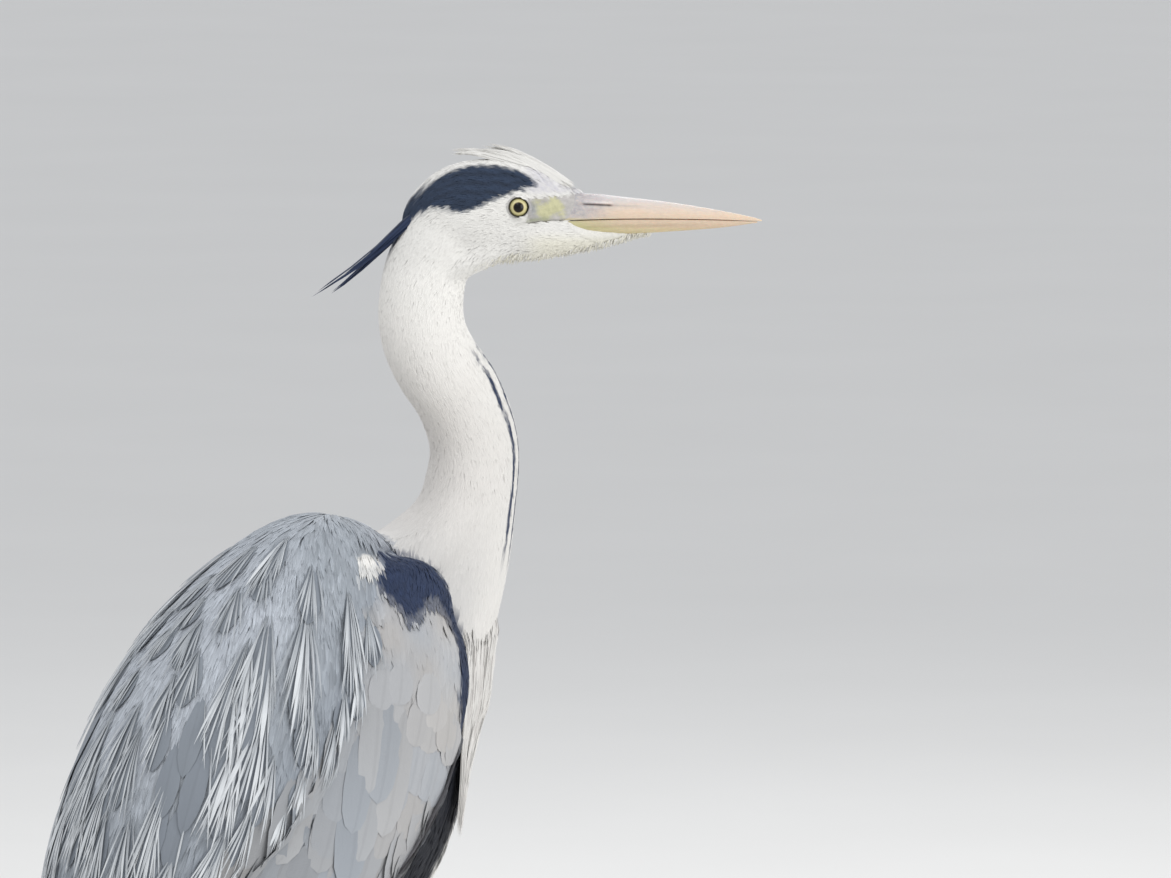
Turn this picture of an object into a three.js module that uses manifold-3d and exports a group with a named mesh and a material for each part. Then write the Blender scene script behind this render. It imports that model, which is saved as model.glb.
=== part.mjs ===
// A life-size grey heron, standing with its neck raised in an S and its head turned to its right.
// Millimetres, +Z up. The trunk faces +X and its right side is -Y. The origin is on the floor, under the middle
// of the bird's outline.
import * as THREE from "three";
import { mergeVertices } from "three/addons/utils/BufferGeometryUtils.js";
import Module from "manifold-3d";

const wasm = await Module();
wasm.setup();

// ---------------------------------------------------------------- driving dimensions
const GAP = 0.3; // clearance between neighbouring pieces
const SLIVER = 0.25; // facets flatter than this are merged where pieces were cut
const DEG = Math.PI / 180;
const HEAD_TURN = 42 * DEG; // how far the head looks to the bird's right
const HEAD_NOD = 1 * DEG; // how far the bill points below level
const EYES = [138.4, -50.6, 809.6]; // the point midway between the eyes
const STANCE = 36; // how far each leg stands from the midline
const ORIGIN = [3, -35, 0]; // the middle of the outline seen from above

// ---------------------------------------------------------------- shape functions
const vector = (p) => new THREE.Vector3(...p);

// A smooth value through a few [place, value] stations, by cubic Hermite pieces.
function profile(stations) {
  const slope = stations.map((s, i) => {
    const a = stations[Math.max(i - 1, 0)];
    const b = stations[Math.min(i + 1, stations.length - 1)];
    return (b[1] - a[1]) / (b[0] - a[0]);
  });
  return (t) => {
    const last = stations.length - 2;
    const found = stations.findIndex((s, i) => i > 0 && t <= s[0]) - 1;
    const i = THREE.MathUtils.clamp(found < 0 ? last : found, 0, last);
    const [t0, v0] = stations[i];
    const [t1, v1] = stations[i + 1];
    const span = t1 - t0;
    const x = THREE.MathUtils.clamp((t - t0) / span, 0, 1);
    const rise = x * x * (3 - 2 * x);
    const bend = x * (1 - x) * ((1 - x) * slope[i] - x * slope[i + 1]);
    return v0 + (v1 - v0) * rise + span * bend;
  };
}

const fixed = (p) => {
  const v = vector(p).normalize();
  return () => v;
};

// A closed body along a path. Its section at t is an oval: half(t) each way along left(t), top(t) above the path
// and under(t) below it. blunt is the oval's power: 2 is an ellipse, and more is squarer. A flipped body is the
// mirror image of one on the right.
function loft(spec, grow = 0) {
  const { path, left, half, top, under = top } = spec;
  const { around = 20, along = 16, blunt = 2, flip = false, ends = true } = spec;
  const curve = new THREE.CatmullRomCurve3(path.map(vector), false, "centripetal");
  const tube = new THREE.CylinderGeometry(1, 1, 1, around, along);
  const place = tube.attributes.position;
  const sections = [];
  for (let i = 0; i <= along; i++) {
    const even = i / along;
    const t = ends ? (1 - Math.cos(Math.PI * even)) / 2 : even;
    const forward = curve.getTangentAt(t);
    const side = left(t).clone().addScaledVector(forward, -left(t).dot(forward)).normalize();
    const up = new THREE.Vector3().crossVectors(forward, side).multiplyScalar(flip ? -1 : 1);
    const end = i === 0 ? -grow : i === along ? grow : 0;
    sections.push({ t, side, up, at: curve.getPointAt(t).addScaledVector(forward, end) });
  }
  const oval = (x) => Math.sign(x) * Math.abs(x) ** (2 / blunt);
  for (let i = 0; i < place.count; i++) {
    const s = sections[Math.round((place.getY(i) + 0.5) * along)];
    const across = oval(place.getZ(i)) * (half(s.t) + grow);
    const high = oval(place.getX(i));
    const rise = high * ((high > 0 ? top : under)(s.t) + grow);
    const p = s.at.clone().addScaledVector(s.side, across).addScaledVector(s.up, rise);
    place.setXYZ(i, p.x, p.y, p.z);
  }
  return solid(tube, flip);
}

// The manifold solid of a closed three.js geometry, turned inside out where it was mirrored.
function solid(geometry, flip = false) {
  const bare = new THREE.BufferGeometry();
  bare.setAttribute("position", geometry.attributes.position);
  bare.setIndex(geometry.index);
  const merged = mergeVertices(bare, 1e-3);
  const corners = new Uint32Array(merged.index.array);
  if (flip) {
    for (let i = 0; i < corners.length; i += 3) {
      [corners[i + 1], corners[i + 2]] = [corners[i + 2], corners[i + 1]];
    }
  }
  const positions = new Float32Array(merged.attributes.position.array);
  return new wasm.Manifold(
    new wasm.Mesh({ numProp: 3, vertProperties: positions, triVerts: corners }),
  );
}

// What is left of a body when others are cut from it: its one largest piece.
function cut(body, ...others) {
  const rest = others.reduce((left, other) => left.subtract(other), body);
  const pieces = rest.simplify(SLIVER).decompose();
  return pieces.reduce((best, piece) => (piece.volume() > best.volume() ? piece : best));
}

// ---------------------------------------------------------------- head, in its own frame
// +X runs along the bill, +Y is the bird's left, and the origin is midway between the eyes.
const headMatrix = new THREE.Matrix4()
  .makeRotationFromEuler(new THREE.Euler(0, HEAD_NOD, -HEAD_TURN, "ZYX"))
  .setPosition(...EYES);
const onHead = (points) => points.map((p) => vector(p).applyMatrix4(headMatrix).toArray());
const headLeft = fixed(vector([0, 1, 0]).transformDirection(headMatrix).toArray());

const HEAD_LENGTH = { back: -76, front: 42 };
const skull = {
  path: onHead([
    [HEAD_LENGTH.back, 0, -14],
    [-40, 0, -5],
    [0, 0, -3],
    [HEAD_LENGTH.front, 0, -3],
  ]),
  left: headLeft,
  half: profile([[0, 3], [0.08, 11], [0.25, 18], [0.42, 19.5], [0.62, 16.8], [0.8, 13.5], [0.95, 10], [1, 8]]),
  top: profile([[0, 4], [0.08, 16], [0.25, 29], [0.42, 34], [0.62, 33], [0.8, 26], [0.95, 14], [1, 9]]),
  under: profile([[0, 4], [0.08, 14], [0.25, 26], [0.42, 33], [0.62, 33], [0.8, 26], [0.95, 19], [1, 15]]),
  along: 12,
  around: 16,
};

const CHIN_TIP = 84;
const chin = {
  path: onHead([
    [-30, 0, -18],
    [10, 0, -19],
    [50, 0, -17],
    [CHIN_TIP, 0, -16.5],
  ]),
  left: headLeft,
  half: profile([[0, 8], [0.3, 15], [0.55, 12], [0.8, 7], [0.95, 3.4], [1, 1.6]]),
  top: profile([[0, 6], [0.3, 8], [0.6, 7], [0.85, 3], [1, 0.6]]),
  under: profile([[0, 8], [0.3, 17], [0.5, 14.5], [0.8, 7.5], [0.95, 3], [1, 1]]),
  along: 8,
  around: 12,
};

const BILL_TIP = 158;
const billUpper = {
  path: onHead([
    [28, 0, -8.5],
    [66, 0, -8],
    [120, 0, -7.6],
    [BILL_TIP, 0, -7.4],
  ]),
  left: headLeft,
  half: profile([[0, 9.5], [0.2, 9.3], [0.5, 6.6], [0.8, 3.4], [0.95, 1.4], [1, 0.5]]),
  top: profile([[0, 17.5], [0.16, 16.6], [0.3, 14.6], [0.55, 11], [0.8, 6.2], [0.95, 2.2], [1, 0.5]]),
  under: () => 0.25,
  along: 8,
  around: 12,
  ends: false,
};

const billLower = {
  path: onHead([
    [28, 0, -9.3],
    [66, 0, -8.8],
    [120, 0, -8.4],
    [BILL_TIP - 3, 0, -8.2],
  ]),
  left: headLeft,
  half: profile([[0, 9], [0.2, 8.8], [0.5, 6], [0.8, 3], [0.95, 1.3], [1, 0.5]]),
  top: () => 0.25,
  under: profile([[0, 9.4], [0.3, 9], [0.55, 7.2], [0.8, 4.2], [0.95, 1.6], [1, 0.5]]),
  along: 9,
  around: 14,
  ends: false,
};

// The eyeball is a flattened ball: EYE_RADIUS seen from the side, and EYE_DEPTH towards the skull.
const EYE_RADIUS = 8;
const EYE_DEPTH = 6;
const EYE_OUT = 12.2;
function eyeball(side, grow = 0) {
  const ball = new THREE.SphereGeometry(1, 12, 6);
  ball.scale(EYE_RADIUS + grow, EYE_DEPTH + grow, EYE_RADIUS + grow);
  ball.translate(0, side * EYE_OUT, 0);
  ball.applyMatrix4(headMatrix);
  return solid(ball);
}

// The raised white crown feathers, two long tufts that lift off the back of the crown.
const crownTufts = [
  { name: "crown_tuft_upper", points: [[34, 0, 15], [12, 0, 30], [-6, 0, 38.5], [-24, 0, 41.5]], wide: 7 },
  { name: "crown_tuft_rear", points: [[8, 0, 25], [-12, 0, 31], [-32, 0, 35.5], [-47, 0, 34.5]], wide: 6 },
].map(({ name, points, wide }) => ({
  name,
  path: onHead(points),
  left: headLeft,
  half: profile([[0, 3], [0.3, wide], [0.7, wide * 0.8], [1, 1]]),
  top: profile([[0, 1], [0.4, 3.4], [0.8, 1.8], [1, 0.5]]),
  along: 6,
  around: 8,
}));

// The long dark plumes that trail from the nape, one from each side's stripe.
const NAPE_PLUMES = [
  { name: "nape_plume_right", y: -5, points: [[-58, 8], [-76, -8], [-96, -32], [-118, -50], [-134, -60]] },
  { name: "nape_plume_left", y: 5, points: [[-58, 8], [-78, -10], [-97, -36], [-112, -56], [-122, -68]] },
].map(({ name, y, points }) => ({
  name,
  path: onHead(points.map(([x, z], i) => [x, y * (1 - 0.1 * i), z])),
  left: headLeft,
  half: profile([[0, 4], [0.3, 4], [0.7, 2], [1, 0.6]]),
  top: profile([[0, 3], [0.3, 2.6], [0.7, 1.2], [1, 0.5]]),
  along: 8,
  around: 6,
}));

// ---------------------------------------------------------------- neck and trunk
// The neck's own left turns with the head, from the neck's middle up.
const NECK_TWIST = profile([[0, 0], [0.45, 0.05], [0.75, 0.6], [0.95, 1], [1, 1]]);
const neckLeft = (t) => {
  const turn = -HEAD_TURN * NECK_TWIST(t);
  return vector([-Math.sin(turn), Math.cos(turn), 0]);
};
const neck = {
  path: [
    [52, 0, 498],
    [96, 0, 538],
    [123, 0, 575],
    [137, 0, 612],
    [143, 0, 648],
    [129, 0, 682],
    [110, 0, 705],
    [99, -2, 727],
    [96, -6, 752],
    [100, -14, 782],
    [112, -28, 803],
  ],
  left: neckLeft,
  half: profile([[0, 46], [0.15, 44], [0.33, 30], [0.55, 23.5], [0.8, 21.5], [0.93, 19], [1, 12]]),
  top: profile([[0, 50], [0.16, 46], [0.31, 35], [0.5, 29], [0.8, 27], [0.93, 24], [1, 12]]),
  under: profile([[0, 60], [0.18, 45], [0.33, 34], [0.5, 30.5], [0.8, 28], [0.93, 24], [1, 12]]),
  along: 22,
  around: 14,
  ends: false,
};
const NECK_CUTS = [0.37, 0.66]; // where the neck is parted into its lower, middle and upper lengths

const SPINE = [
  [-176, 0, 292],
  [-112, 0, 352],
  [-42, 0, 424],
  [26, 0, 492],
  [86, 0, 552],
];
const trunk = {
  path: SPINE,
  left: fixed([0, 1, 0]),
  half: profile([[0, 10], [0.1, 30], [0.3, 52], [0.5, 63], [0.7, 66], [0.87, 56], [0.96, 40], [1, 20]]),
  top: profile([[0, 8], [0.1, 40], [0.3, 78], [0.5, 98], [0.7, 104], [0.85, 84], [0.95, 50], [1, 24]]),
  under: profile([[0, 10], [0.1, 36], [0.3, 90], [0.48, 128], [0.66, 138], [0.84, 110], [0.95, 68], [1, 30]]),
  along: 12,
  around: 16,
  blunt: 2.1,
};

// The long pale plumes that hang from the foot of the neck over the breast.
const breastPlumes = {
  path: [
    [148, 0, 566],
    [137, 0, 505],
    [122, 0, 445],
    [104, 0, 385],
  ],
  left: fixed([0, 1, 0]),
  half: profile([[0, 14], [0.3, 30], [0.7, 22], [1, 3]]),
  top: profile([[0, 12], [0.4, 15], [0.8, 10], [1, 1]]),
  under: profile([[0, 6], [0.4, 10], [0.8, 8], [1, 1]]),
  along: 8,
  around: 12,
};

const tail = {
  path: [
    [-150, 0, 304],
    [-200, 0, 246],
    [-248, 0, 182],
  ],
  left: fixed([0, 1, 0]),
  half: profile([[0, 24], [0.5, 32], [1, 38]]),
  top: profile([[0, 16], [0.5, 7], [1, 2]]),
  along: 4,
  around: 12,
  blunt: 3,
  ends: false,
};

// ---------------------------------------------------------------- wings, as folded on the right side
const outward = fixed([-0.08, -1, 0.1]);
const wing = {
  coverts: {
    path: [
      [72, -46, 560],
      [38, -61, 514],
      [-20, -62, 446],
      [-84, -58, 372],
      [-140, -49, 306],
    ],
    left: outward,
    half: profile([[0, 6], [0.12, 18], [0.4, 21], [0.75, 15], [1, 4]]),
    top: profile([[0, 24], [0.15, 56], [0.4, 66], [0.75, 66], [1, 24]]),
    under: profile([[0, 14], [0.14, 44], [0.4, 66], [0.75, 58], [1, 14]]),
    along: 9,
    around: 12,
  },
  secondaries: {
    path: [
      [0, -60, 446],
      [-70, -53, 370],
      [-140, -42, 296],
      [-218, -34, 214],
    ],
    left: outward,
    half: profile([[0, 8], [0.5, 9], [0.85, 6], [1, 2]]),
    top: profile([[0, 50], [0.5, 56], [0.85, 32], [1, 6]]),
    under: profile([[0, 50], [0.5, 46], [0.85, 24], [1, 6]]),
    along: 8,
    around: 12,
  },
  primaries: {
    path: [
      [-60, -46, 358],
      [-124, -36, 290],
      [-186, -27, 226],
      [-246, -21, 166],
    ],
    left: outward,
    half: profile([[0, 5], [0.5, 5], [0.85, 3.5], [1, 1.2]]),
    top: profile([[0, 20], [0.5, 28], [0.85, 16], [1, 3]]),
    under: profile([[0, 20], [0.5, 22], [0.85, 12], [1, 3]]),
    along: 6,
    around: 10,
  },
};

// The cape of mantle and scapular plumes that drapes from the shoulders over the back and the wings' upper half.
const cape = {
  path: [
    [66, 0, 576],
    [22, 0, 564],
    [-44, 0, 486],
    [-116, 0, 400],
    [-202, 0, 296],
  ],
  left: fixed([0, 1, 0]),
  half: profile([[0, 22], [0.13, 54], [0.35, 82], [0.6, 84], [0.85, 58], [1, 22]]),
  top: profile([[0, 16], [0.1, 40], [0.25, 45], [0.45, 48], [0.65, 45], [0.88, 30], [1, 8]]),
  under: profile([[0, 22], [0.16, 70], [0.4, 90], [0.7, 70], [1, 10]]),
  along: 12,
  around: 18,
  blunt: 2.3,
};

// The cape's hem: plume tips along a line from under the carpal to the rump, with notches between them.
const HEM = { from: [68, 560], to: [-222, 290], tips: 10, notch: 26, drop: [-0.25, -0.97] };
function hemCutter(y0, y1) {
  const [x0, z0] = HEM.from;
  const [x1, z1] = HEM.to;
  const shape = new THREE.Shape();
  shape.moveTo(x0 + 60, z0 + 30);
  for (let i = 0; i <= 2 * HEM.tips; i++) {
    const t = i / (2 * HEM.tips);
    const rise = i % 2 === 0 ? HEM.notch : 0;
    const x = x0 + (x1 - x0) * t - HEM.drop[0] * rise;
    shape.lineTo(x, z0 + (z1 - z0) * t - HEM.drop[1] * rise);
  }
  shape.lineTo(x1 - 60, z1 - 200);
  shape.lineTo(x0 + 60, z1 - 200);
  const slab = new THREE.ExtrudeGeometry(shape, { depth: y1 - y0, bevelEnabled: false });
  slab.rotateX(Math.PI / 2);
  slab.translate(0, y1, 0);
  return solid(mergeVertices(slab.deleteAttribute("normal").deleteAttribute("uv")));
}

// ---------------------------------------------------------------- legs and feet
const ANKLE_HEIGHT = 165;
const TOE_RADIUS = 4.2;
const TOES = [
  { name: "inner", turn: -22, length: 66, claw: 12 },
  { name: "middle", turn: 0, length: 84, claw: 14 },
  { name: "outer", turn: 30, length: 72, claw: 12 },
  { name: "hind", turn: 172, length: 44, claw: 18 },
];

// One leg's bodies. side is -1 on the right and 1 on the left, and stride is where along X its foot stands.
function leg(side, stride) {
  const y = side * STANCE;
  const flip = side > 0;
  const left = fixed([0, side, 0]);
  const thigh = {
    path: [[-8, side * 30, 400], [2, y, 352], [stride + 16, y, 306], [stride - 2, y, 256]],
    left,
    half: profile([[0, 24], [0.3, 32], [0.65, 20], [0.92, 10], [1, 7]]),
    top: profile([[0, 30], [0.3, 40], [0.65, 25], [0.92, 11], [1, 8]]),
    along: 8,
    around: 12,
    flip,
  };
  const shin = {
    path: [[stride + 3, y, 270], [stride - 12, y, 212], [stride - 26, y, ANKLE_HEIGHT]],
    left,
    half: profile([[0, 5], [0.7, 4.6], [1, 6.5]]),
    top: profile([[0, 5.5], [0.7, 5], [1, 7.5]]),
    along: 5,
    around: 10,
    ends: false,
    flip,
  };
  const tarsus = {
    path: [
      [stride - 27, y, ANKLE_HEIGHT + 5],
      [stride - 22, y, 140],
      [stride - 8, y, 60],
      [stride, y, 14],
      [stride, y, -4],
    ],
    left,
    half: profile([[0, 6.4], [0.12, 5.4], [0.3, 4], [0.8, 4], [0.93, 6], [1, 7]]),
    top: profile([[0, 7.4], [0.12, 6], [0.3, 4.6], [0.8, 4.6], [0.93, 7], [1, 8]]),
    along: 8,
    around: 10,
    ends: false,
    flip,
  };
  const toes = TOES.map(({ name, turn, length, claw }) => {
    const angle = side * turn * DEG;
    const along = (reach, z) => [stride + reach * Math.cos(angle), y + reach * Math.sin(angle), z];
    const across = fixed([-Math.sin(angle) * -side, Math.cos(angle) * -side, 0]);
    const toe = {
      path: [along(3, 9), along(16, 3.8), along(length * 0.5, 3), along(length, 1.9)],
      left: across,
      half: profile([[0, TOE_RADIUS], [0.3, TOE_RADIUS], [0.9, 3.2], [1, 2.4]]),
      top: profile([[0, TOE_RADIUS + 1], [0.3, TOE_RADIUS], [0.9, 3.2], [1, 2.4]]),
      along: 4,
      around: 8,
      ends: false,
      flip: side < 0,
    };
    const nail = {
      path: [along(length - 4, 2.6), along(length + claw * 0.5, 3.6), along(length + claw, 0.6)],
      left: across,
      half: profile([[0, 2], [0.5, 1.5], [1, 0.5]]),
      top: profile([[0, 2.2], [0.5, 1.7], [1, 0.5]]),
      along: 3,
      around: 6,
      ends: false,
      flip: side < 0,
    };
    return { name, toe, nail };
  });
  return { thigh, shin, tarsus, toes };
}

// ---------------------------------------------------------------- materials
const paint = (hex, roughness = 0.8) =>
  new THREE.MeshStandardMaterial({ color: hex, roughness, metalness: 0 });
const MATERIAL = {
  white: paint(0xe9e8e4),
  neckGrey: paint(0xd8d4cf),
  back: paint(0x9ba1ab),
  coverts: paint(0xb9bcc2),
  secondaries: paint(0x5c636f),
  primaries: paint(0x353b48),
  slate: paint(0x2b3140),
  plume: paint(0xd3d6da),
  bill: paint(0xd8b896, 0.45),
  iris: paint(0xd9cb6e, 0.08),
  leg: paint(0x8f8466, 0.6),
  claw: paint(0x3a3733, 0.4),
};

// ---------------------------------------------------------------- the bird
const root = new THREE.Group();
root.position.set(-ORIGIN[0], -ORIGIN[1], 0);

function add(name, body, material) {
  const mesh = body.getMesh();
  const geometry = new THREE.BufferGeometry();
  geometry.setAttribute("position", new THREE.BufferAttribute(mesh.vertProperties, 3));
  geometry.setIndex(new THREE.BufferAttribute(mesh.triVerts, 1));
  geometry.computeVertexNormals();
  const made = new THREE.Mesh(geometry, material);
  made.name = name;
  root.add(made);
}

const all = (bodies) => bodies.reduce((joined, body) => joined.add(body));
const onFloor = (body) => body.trimByPlane([0, 0, 1], 0);

function addHead() {
  const eyes = [-1, 1].map((side) => eyeball(side, GAP));
  const bill = [loft(billUpper, GAP), loft(billLower, GAP)];
  const jowl = loft(skull).add(loft(chin)).simplify(SLIVER);
  add("head", cut(jowl, ...bill, ...eyes), MATERIAL.white);
  add("bill_upper", loft(billUpper), MATERIAL.bill);
  add("bill_lower", cut(loft(billLower), loft(billUpper, GAP)), MATERIAL.bill);
  add("eye_right", eyeball(-1), MATERIAL.iris);
  add("eye_left", eyeball(1), MATERIAL.iris);
  const taken = [loft(skull, GAP)];
  for (const tuft of crownTufts) {
    add(tuft.name, cut(loft(tuft), ...taken), MATERIAL.white);
    taken.push(loft(tuft, GAP));
  }
  const nape = [loft(skull, GAP), loft(neck, GAP)];
  for (const plume of NAPE_PLUMES) {
    add(plume.name, cut(loft(plume), ...nape), MATERIAL.slate);
    nape.push(loft(plume, GAP));
  }
}

function addNeckAndTrunk() {
  add("trunk", loft(trunk), MATERIAL.white);
  const curve = new THREE.CatmullRomCurve3(neck.path.map(vector), false, "centripetal");
  const whole = cut(loft(neck), loft(trunk, GAP), loft(skull, GAP), loft(chin, GAP));
  const planes = NECK_CUTS.map((t) => {
    const normal = curve.getTangentAt(t);
    return { normal: normal.toArray(), offset: normal.dot(curve.getPointAt(t)) };
  });
  const above = (body, { normal, offset }) => body.trimByPlane(normal, offset + GAP / 2);
  const below = (body, { normal, offset }) =>
    body.trimByPlane(normal.map((x) => -x), -offset + GAP / 2);
  add("neck_lower", below(whole, planes[0]), MATERIAL.neckGrey);
  add("neck_middle", below(above(whole, planes[0]), planes[1]), MATERIAL.neckGrey);
  add("neck_upper", above(whole, planes[1]), MATERIAL.neckGrey);
  add("breast_plumes", cut(loft(breastPlumes), loft(trunk, GAP), loft(neck, GAP)), MATERIAL.plume);
}

function addWings(legs) {
  const thighs = all(legs.map(({ thigh }) => loft(thigh, GAP)));
  const core = [loft(trunk, GAP), loft(neck, GAP), thighs];
  const mantle = loft(cape).subtract(hemCutter(-150, 150));
  const grownMantle = loft(cape, GAP).subtract(hemCutter(-150, 150).translate([0, 0, -1.4 * GAP]));
  const tailTaken = [grownMantle];
  for (const [side, flip] of [["right", false], ["left", true]]) {
    const mirror = (spec) =>
      flip
        ? {
            ...spec,
            path: spec.path.map(([x, y, z]) => [x, -y, z]),
            left: (t) => spec.left(t).clone().multiply(vector([1, -1, 1])),
            flip: true,
          }
        : spec;
    const inner = (body) => body.trimByPlane([0, flip ? 1 : -1, 0], GAP / 2);
    const under = [...core, grownMantle];
    add(`scapulars_${side}`, cut(inner(mantle), ...core), MATERIAL.back);
    for (const [name, spec] of Object.entries(wing)) {
      const body = inner(loft(mirror(spec)));
      add(`wing_${side}_${name}`, cut(body, ...under), MATERIAL[name]);
      under.push(inner(loft(mirror(spec), GAP)));
    }
    tailTaken.push(...under.slice(core.length + 1));
  }
  add("tail", cut(loft(tail), ...core, ...tailTaken), MATERIAL.back);
}

function addLegs(legs) {
  const torso = loft(trunk, GAP);
  for (const [i, { thigh, shin, tarsus, toes }] of legs.entries()) {
    const side = i === 0 ? "right" : "left";
    add(`thigh_${side}`, cut(loft(thigh), torso), MATERIAL.white);
    add(`shin_${side}`, cut(loft(shin), loft(thigh, GAP)), MATERIAL.leg);
    add(`tarsus_${side}`, onFloor(cut(loft(tarsus), loft(shin, GAP))), MATERIAL.leg);
    const taken = [loft(tarsus, GAP)];
    for (const { name, toe, nail } of toes) {
      add(`toe_${side}_${name}`, onFloor(cut(loft(toe), ...taken)), MATERIAL.leg);
      taken.push(loft(toe, GAP));
      add(`claw_${side}_${name}`, cut(loft(nail), loft(toe, GAP)), MATERIAL.claw);
    }
  }
}

const legs = [leg(-1, -32), leg(1, -18)];
addHead();
addNeckAndTrunk();
addWings(legs);
addLegs(legs);

export default root;
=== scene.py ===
"""A life-size grey heron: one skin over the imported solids, with its feathers, bill, eyes, legs and claws.

Shapes are worked out in the bird's own millimetres (+X the way the trunk faces, +Y its left, +Z up), with the
same named bodies as the solids, and turned into the frame's metres when a mesh is made.
"""

import copy
import math

import bmesh
import bpy
import numpy as np
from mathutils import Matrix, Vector
from mathutils.bvhtree import BVHTree
from mathutils.kdtree import KDTree


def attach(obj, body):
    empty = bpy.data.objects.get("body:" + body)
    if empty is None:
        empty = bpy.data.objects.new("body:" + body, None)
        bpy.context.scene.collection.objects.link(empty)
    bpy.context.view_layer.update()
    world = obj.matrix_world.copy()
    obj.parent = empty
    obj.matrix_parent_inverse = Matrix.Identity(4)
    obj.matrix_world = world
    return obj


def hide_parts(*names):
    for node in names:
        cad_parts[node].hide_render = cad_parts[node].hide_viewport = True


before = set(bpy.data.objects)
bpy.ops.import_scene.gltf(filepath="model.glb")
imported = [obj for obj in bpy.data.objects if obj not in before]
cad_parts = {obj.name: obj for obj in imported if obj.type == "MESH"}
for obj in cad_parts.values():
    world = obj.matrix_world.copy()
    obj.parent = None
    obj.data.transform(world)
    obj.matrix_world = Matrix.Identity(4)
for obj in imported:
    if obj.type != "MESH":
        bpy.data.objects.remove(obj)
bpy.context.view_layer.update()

# ---------------------------------------------------------------- driving dimensions, as in the solids
ORIGIN = np.array([3.0, -35.0, 0.0])
HEAD_TURN = math.radians(42)
HEAD_NOD = math.radians(1)
EYES = np.array([138.4, -50.6, 809.6])
STANCE = 36
ANKLE_HEIGHT = 165
STRIDES = {-1: -32, 1: -18}
RIGHT, LEFT = -1, 1
SIDE_NAMES = {RIGHT: "right", LEFT: "left"}


def metres(points):
    """Points of the bird's own millimetres in the frame's metres."""
    return (np.asarray(points, float) - ORIGIN) / 1000


def unit(v):
    """Vectors of length 1."""
    return v / np.maximum(np.linalg.norm(v, axis=-1, keepdims=True), 1e-9)


def smooth(x, low, high):
    """0 below low, 1 above high, and a smooth step between them."""
    s = np.clip((np.asarray(x, float) - low) / (high - low), 0, 1)
    return s * s * (3 - 2 * s)


def bell(x, width):
    """1 at zero, fading smoothly to nothing on both sides."""
    return np.exp(-((x / width) ** 2))


def mound(x, z, place, long, high):
    """1 at a place, fading smoothly to nothing round it."""
    return np.exp(-(((x - place[0]) / long) ** 2) - ((z - place[1]) / high) ** 2)


def head_axes():
    """The head's forward, left and up directions, as the columns of a matrix."""
    c, s = math.cos(HEAD_TURN), math.sin(HEAD_TURN)
    turn = np.array([[c, s, 0], [-s, c, 0], [0, 0, 1]])
    c, s = math.cos(HEAD_NOD), math.sin(HEAD_NOD)
    return turn @ np.array([[c, 0, s], [0, 1, 0], [-s, 0, c]])


HEAD_AXES = head_axes()


def from_head(points):
    """Points of the head's frame in the bird's."""
    return EYES + np.asarray(points, float) @ HEAD_AXES.T


def to_head(points):
    """Points of the bird's frame in the head's, whose origin is between the eyes."""
    return (np.asarray(points, float) - EYES) @ HEAD_AXES


# ---------------------------------------------------------------- curves and bodies
def profile(*stations):
    """A smooth value through a few (place, value) stations, by cubic Hermite pieces."""
    x, v = np.array(stations, float).T
    n = len(x)
    ahead = np.minimum(np.arange(n) + 1, n - 1)
    behind = np.maximum(np.arange(n) - 1, 0)
    slope = (v[ahead] - v[behind]) / (x[ahead] - x[behind])

    def value(t):
        i = np.clip(np.searchsorted(x, t) - 1, 0, n - 2)
        span = x[i + 1] - x[i]
        s = np.clip((t - x[i]) / span, 0, 1)
        bend = s * (1 - s) * ((1 - s) * slope[i] - s * slope[i + 1])
        return v[i] + (v[i + 1] - v[i]) * s * s * (3 - 2 * s) + span * bend

    return value


class Path:
    """A centripetal Catmull-Rom curve, read by its share of the length."""

    def __init__(self, points):
        p = np.array(points, float)
        p = np.vstack([2 * p[0] - p[1], p, 2 * p[-1] - p[-2]])
        u = np.linspace(0, 1, 60, endpoint=False)[:, None]
        dense = []
        for p0, p1, p2, p3 in zip(p, p[1:], p[2:], p[3:]):
            d0, d1, d2 = (np.linalg.norm(b - a) ** 0.5 for a, b in ((p0, p1), (p1, p2), (p2, p3)))
            m1 = d1 * ((p1 - p0) / d0 - (p2 - p0) / (d0 + d1) + (p2 - p1) / d1)
            m2 = d1 * ((p2 - p1) / d1 - (p3 - p1) / (d1 + d2) + (p3 - p2) / d2)
            rise = 3 * u**2 - 2 * u**3
            dense.append(p1 + (p2 - p1) * rise + (u**3 - 2 * u**2 + u) * m1 + (u**3 - u**2) * m2)
        self.dense = np.vstack(dense + [p[-2:-1]])
        step = np.linalg.norm(np.diff(self.dense, axis=0), axis=1)
        self.length = step.sum()
        self.share = np.concatenate([[0], np.cumsum(step)]) / self.length

    def at(self, t):
        return np.stack([np.interp(t, self.share, self.dense[:, k]) for k in range(3)], -1)

    def along(self, t):
        t = np.asarray(t, float)
        return unit(self.at(np.clip(t + 0.004, 0, 1)) - self.at(np.clip(t - 0.004, 0, 1)))


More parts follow.
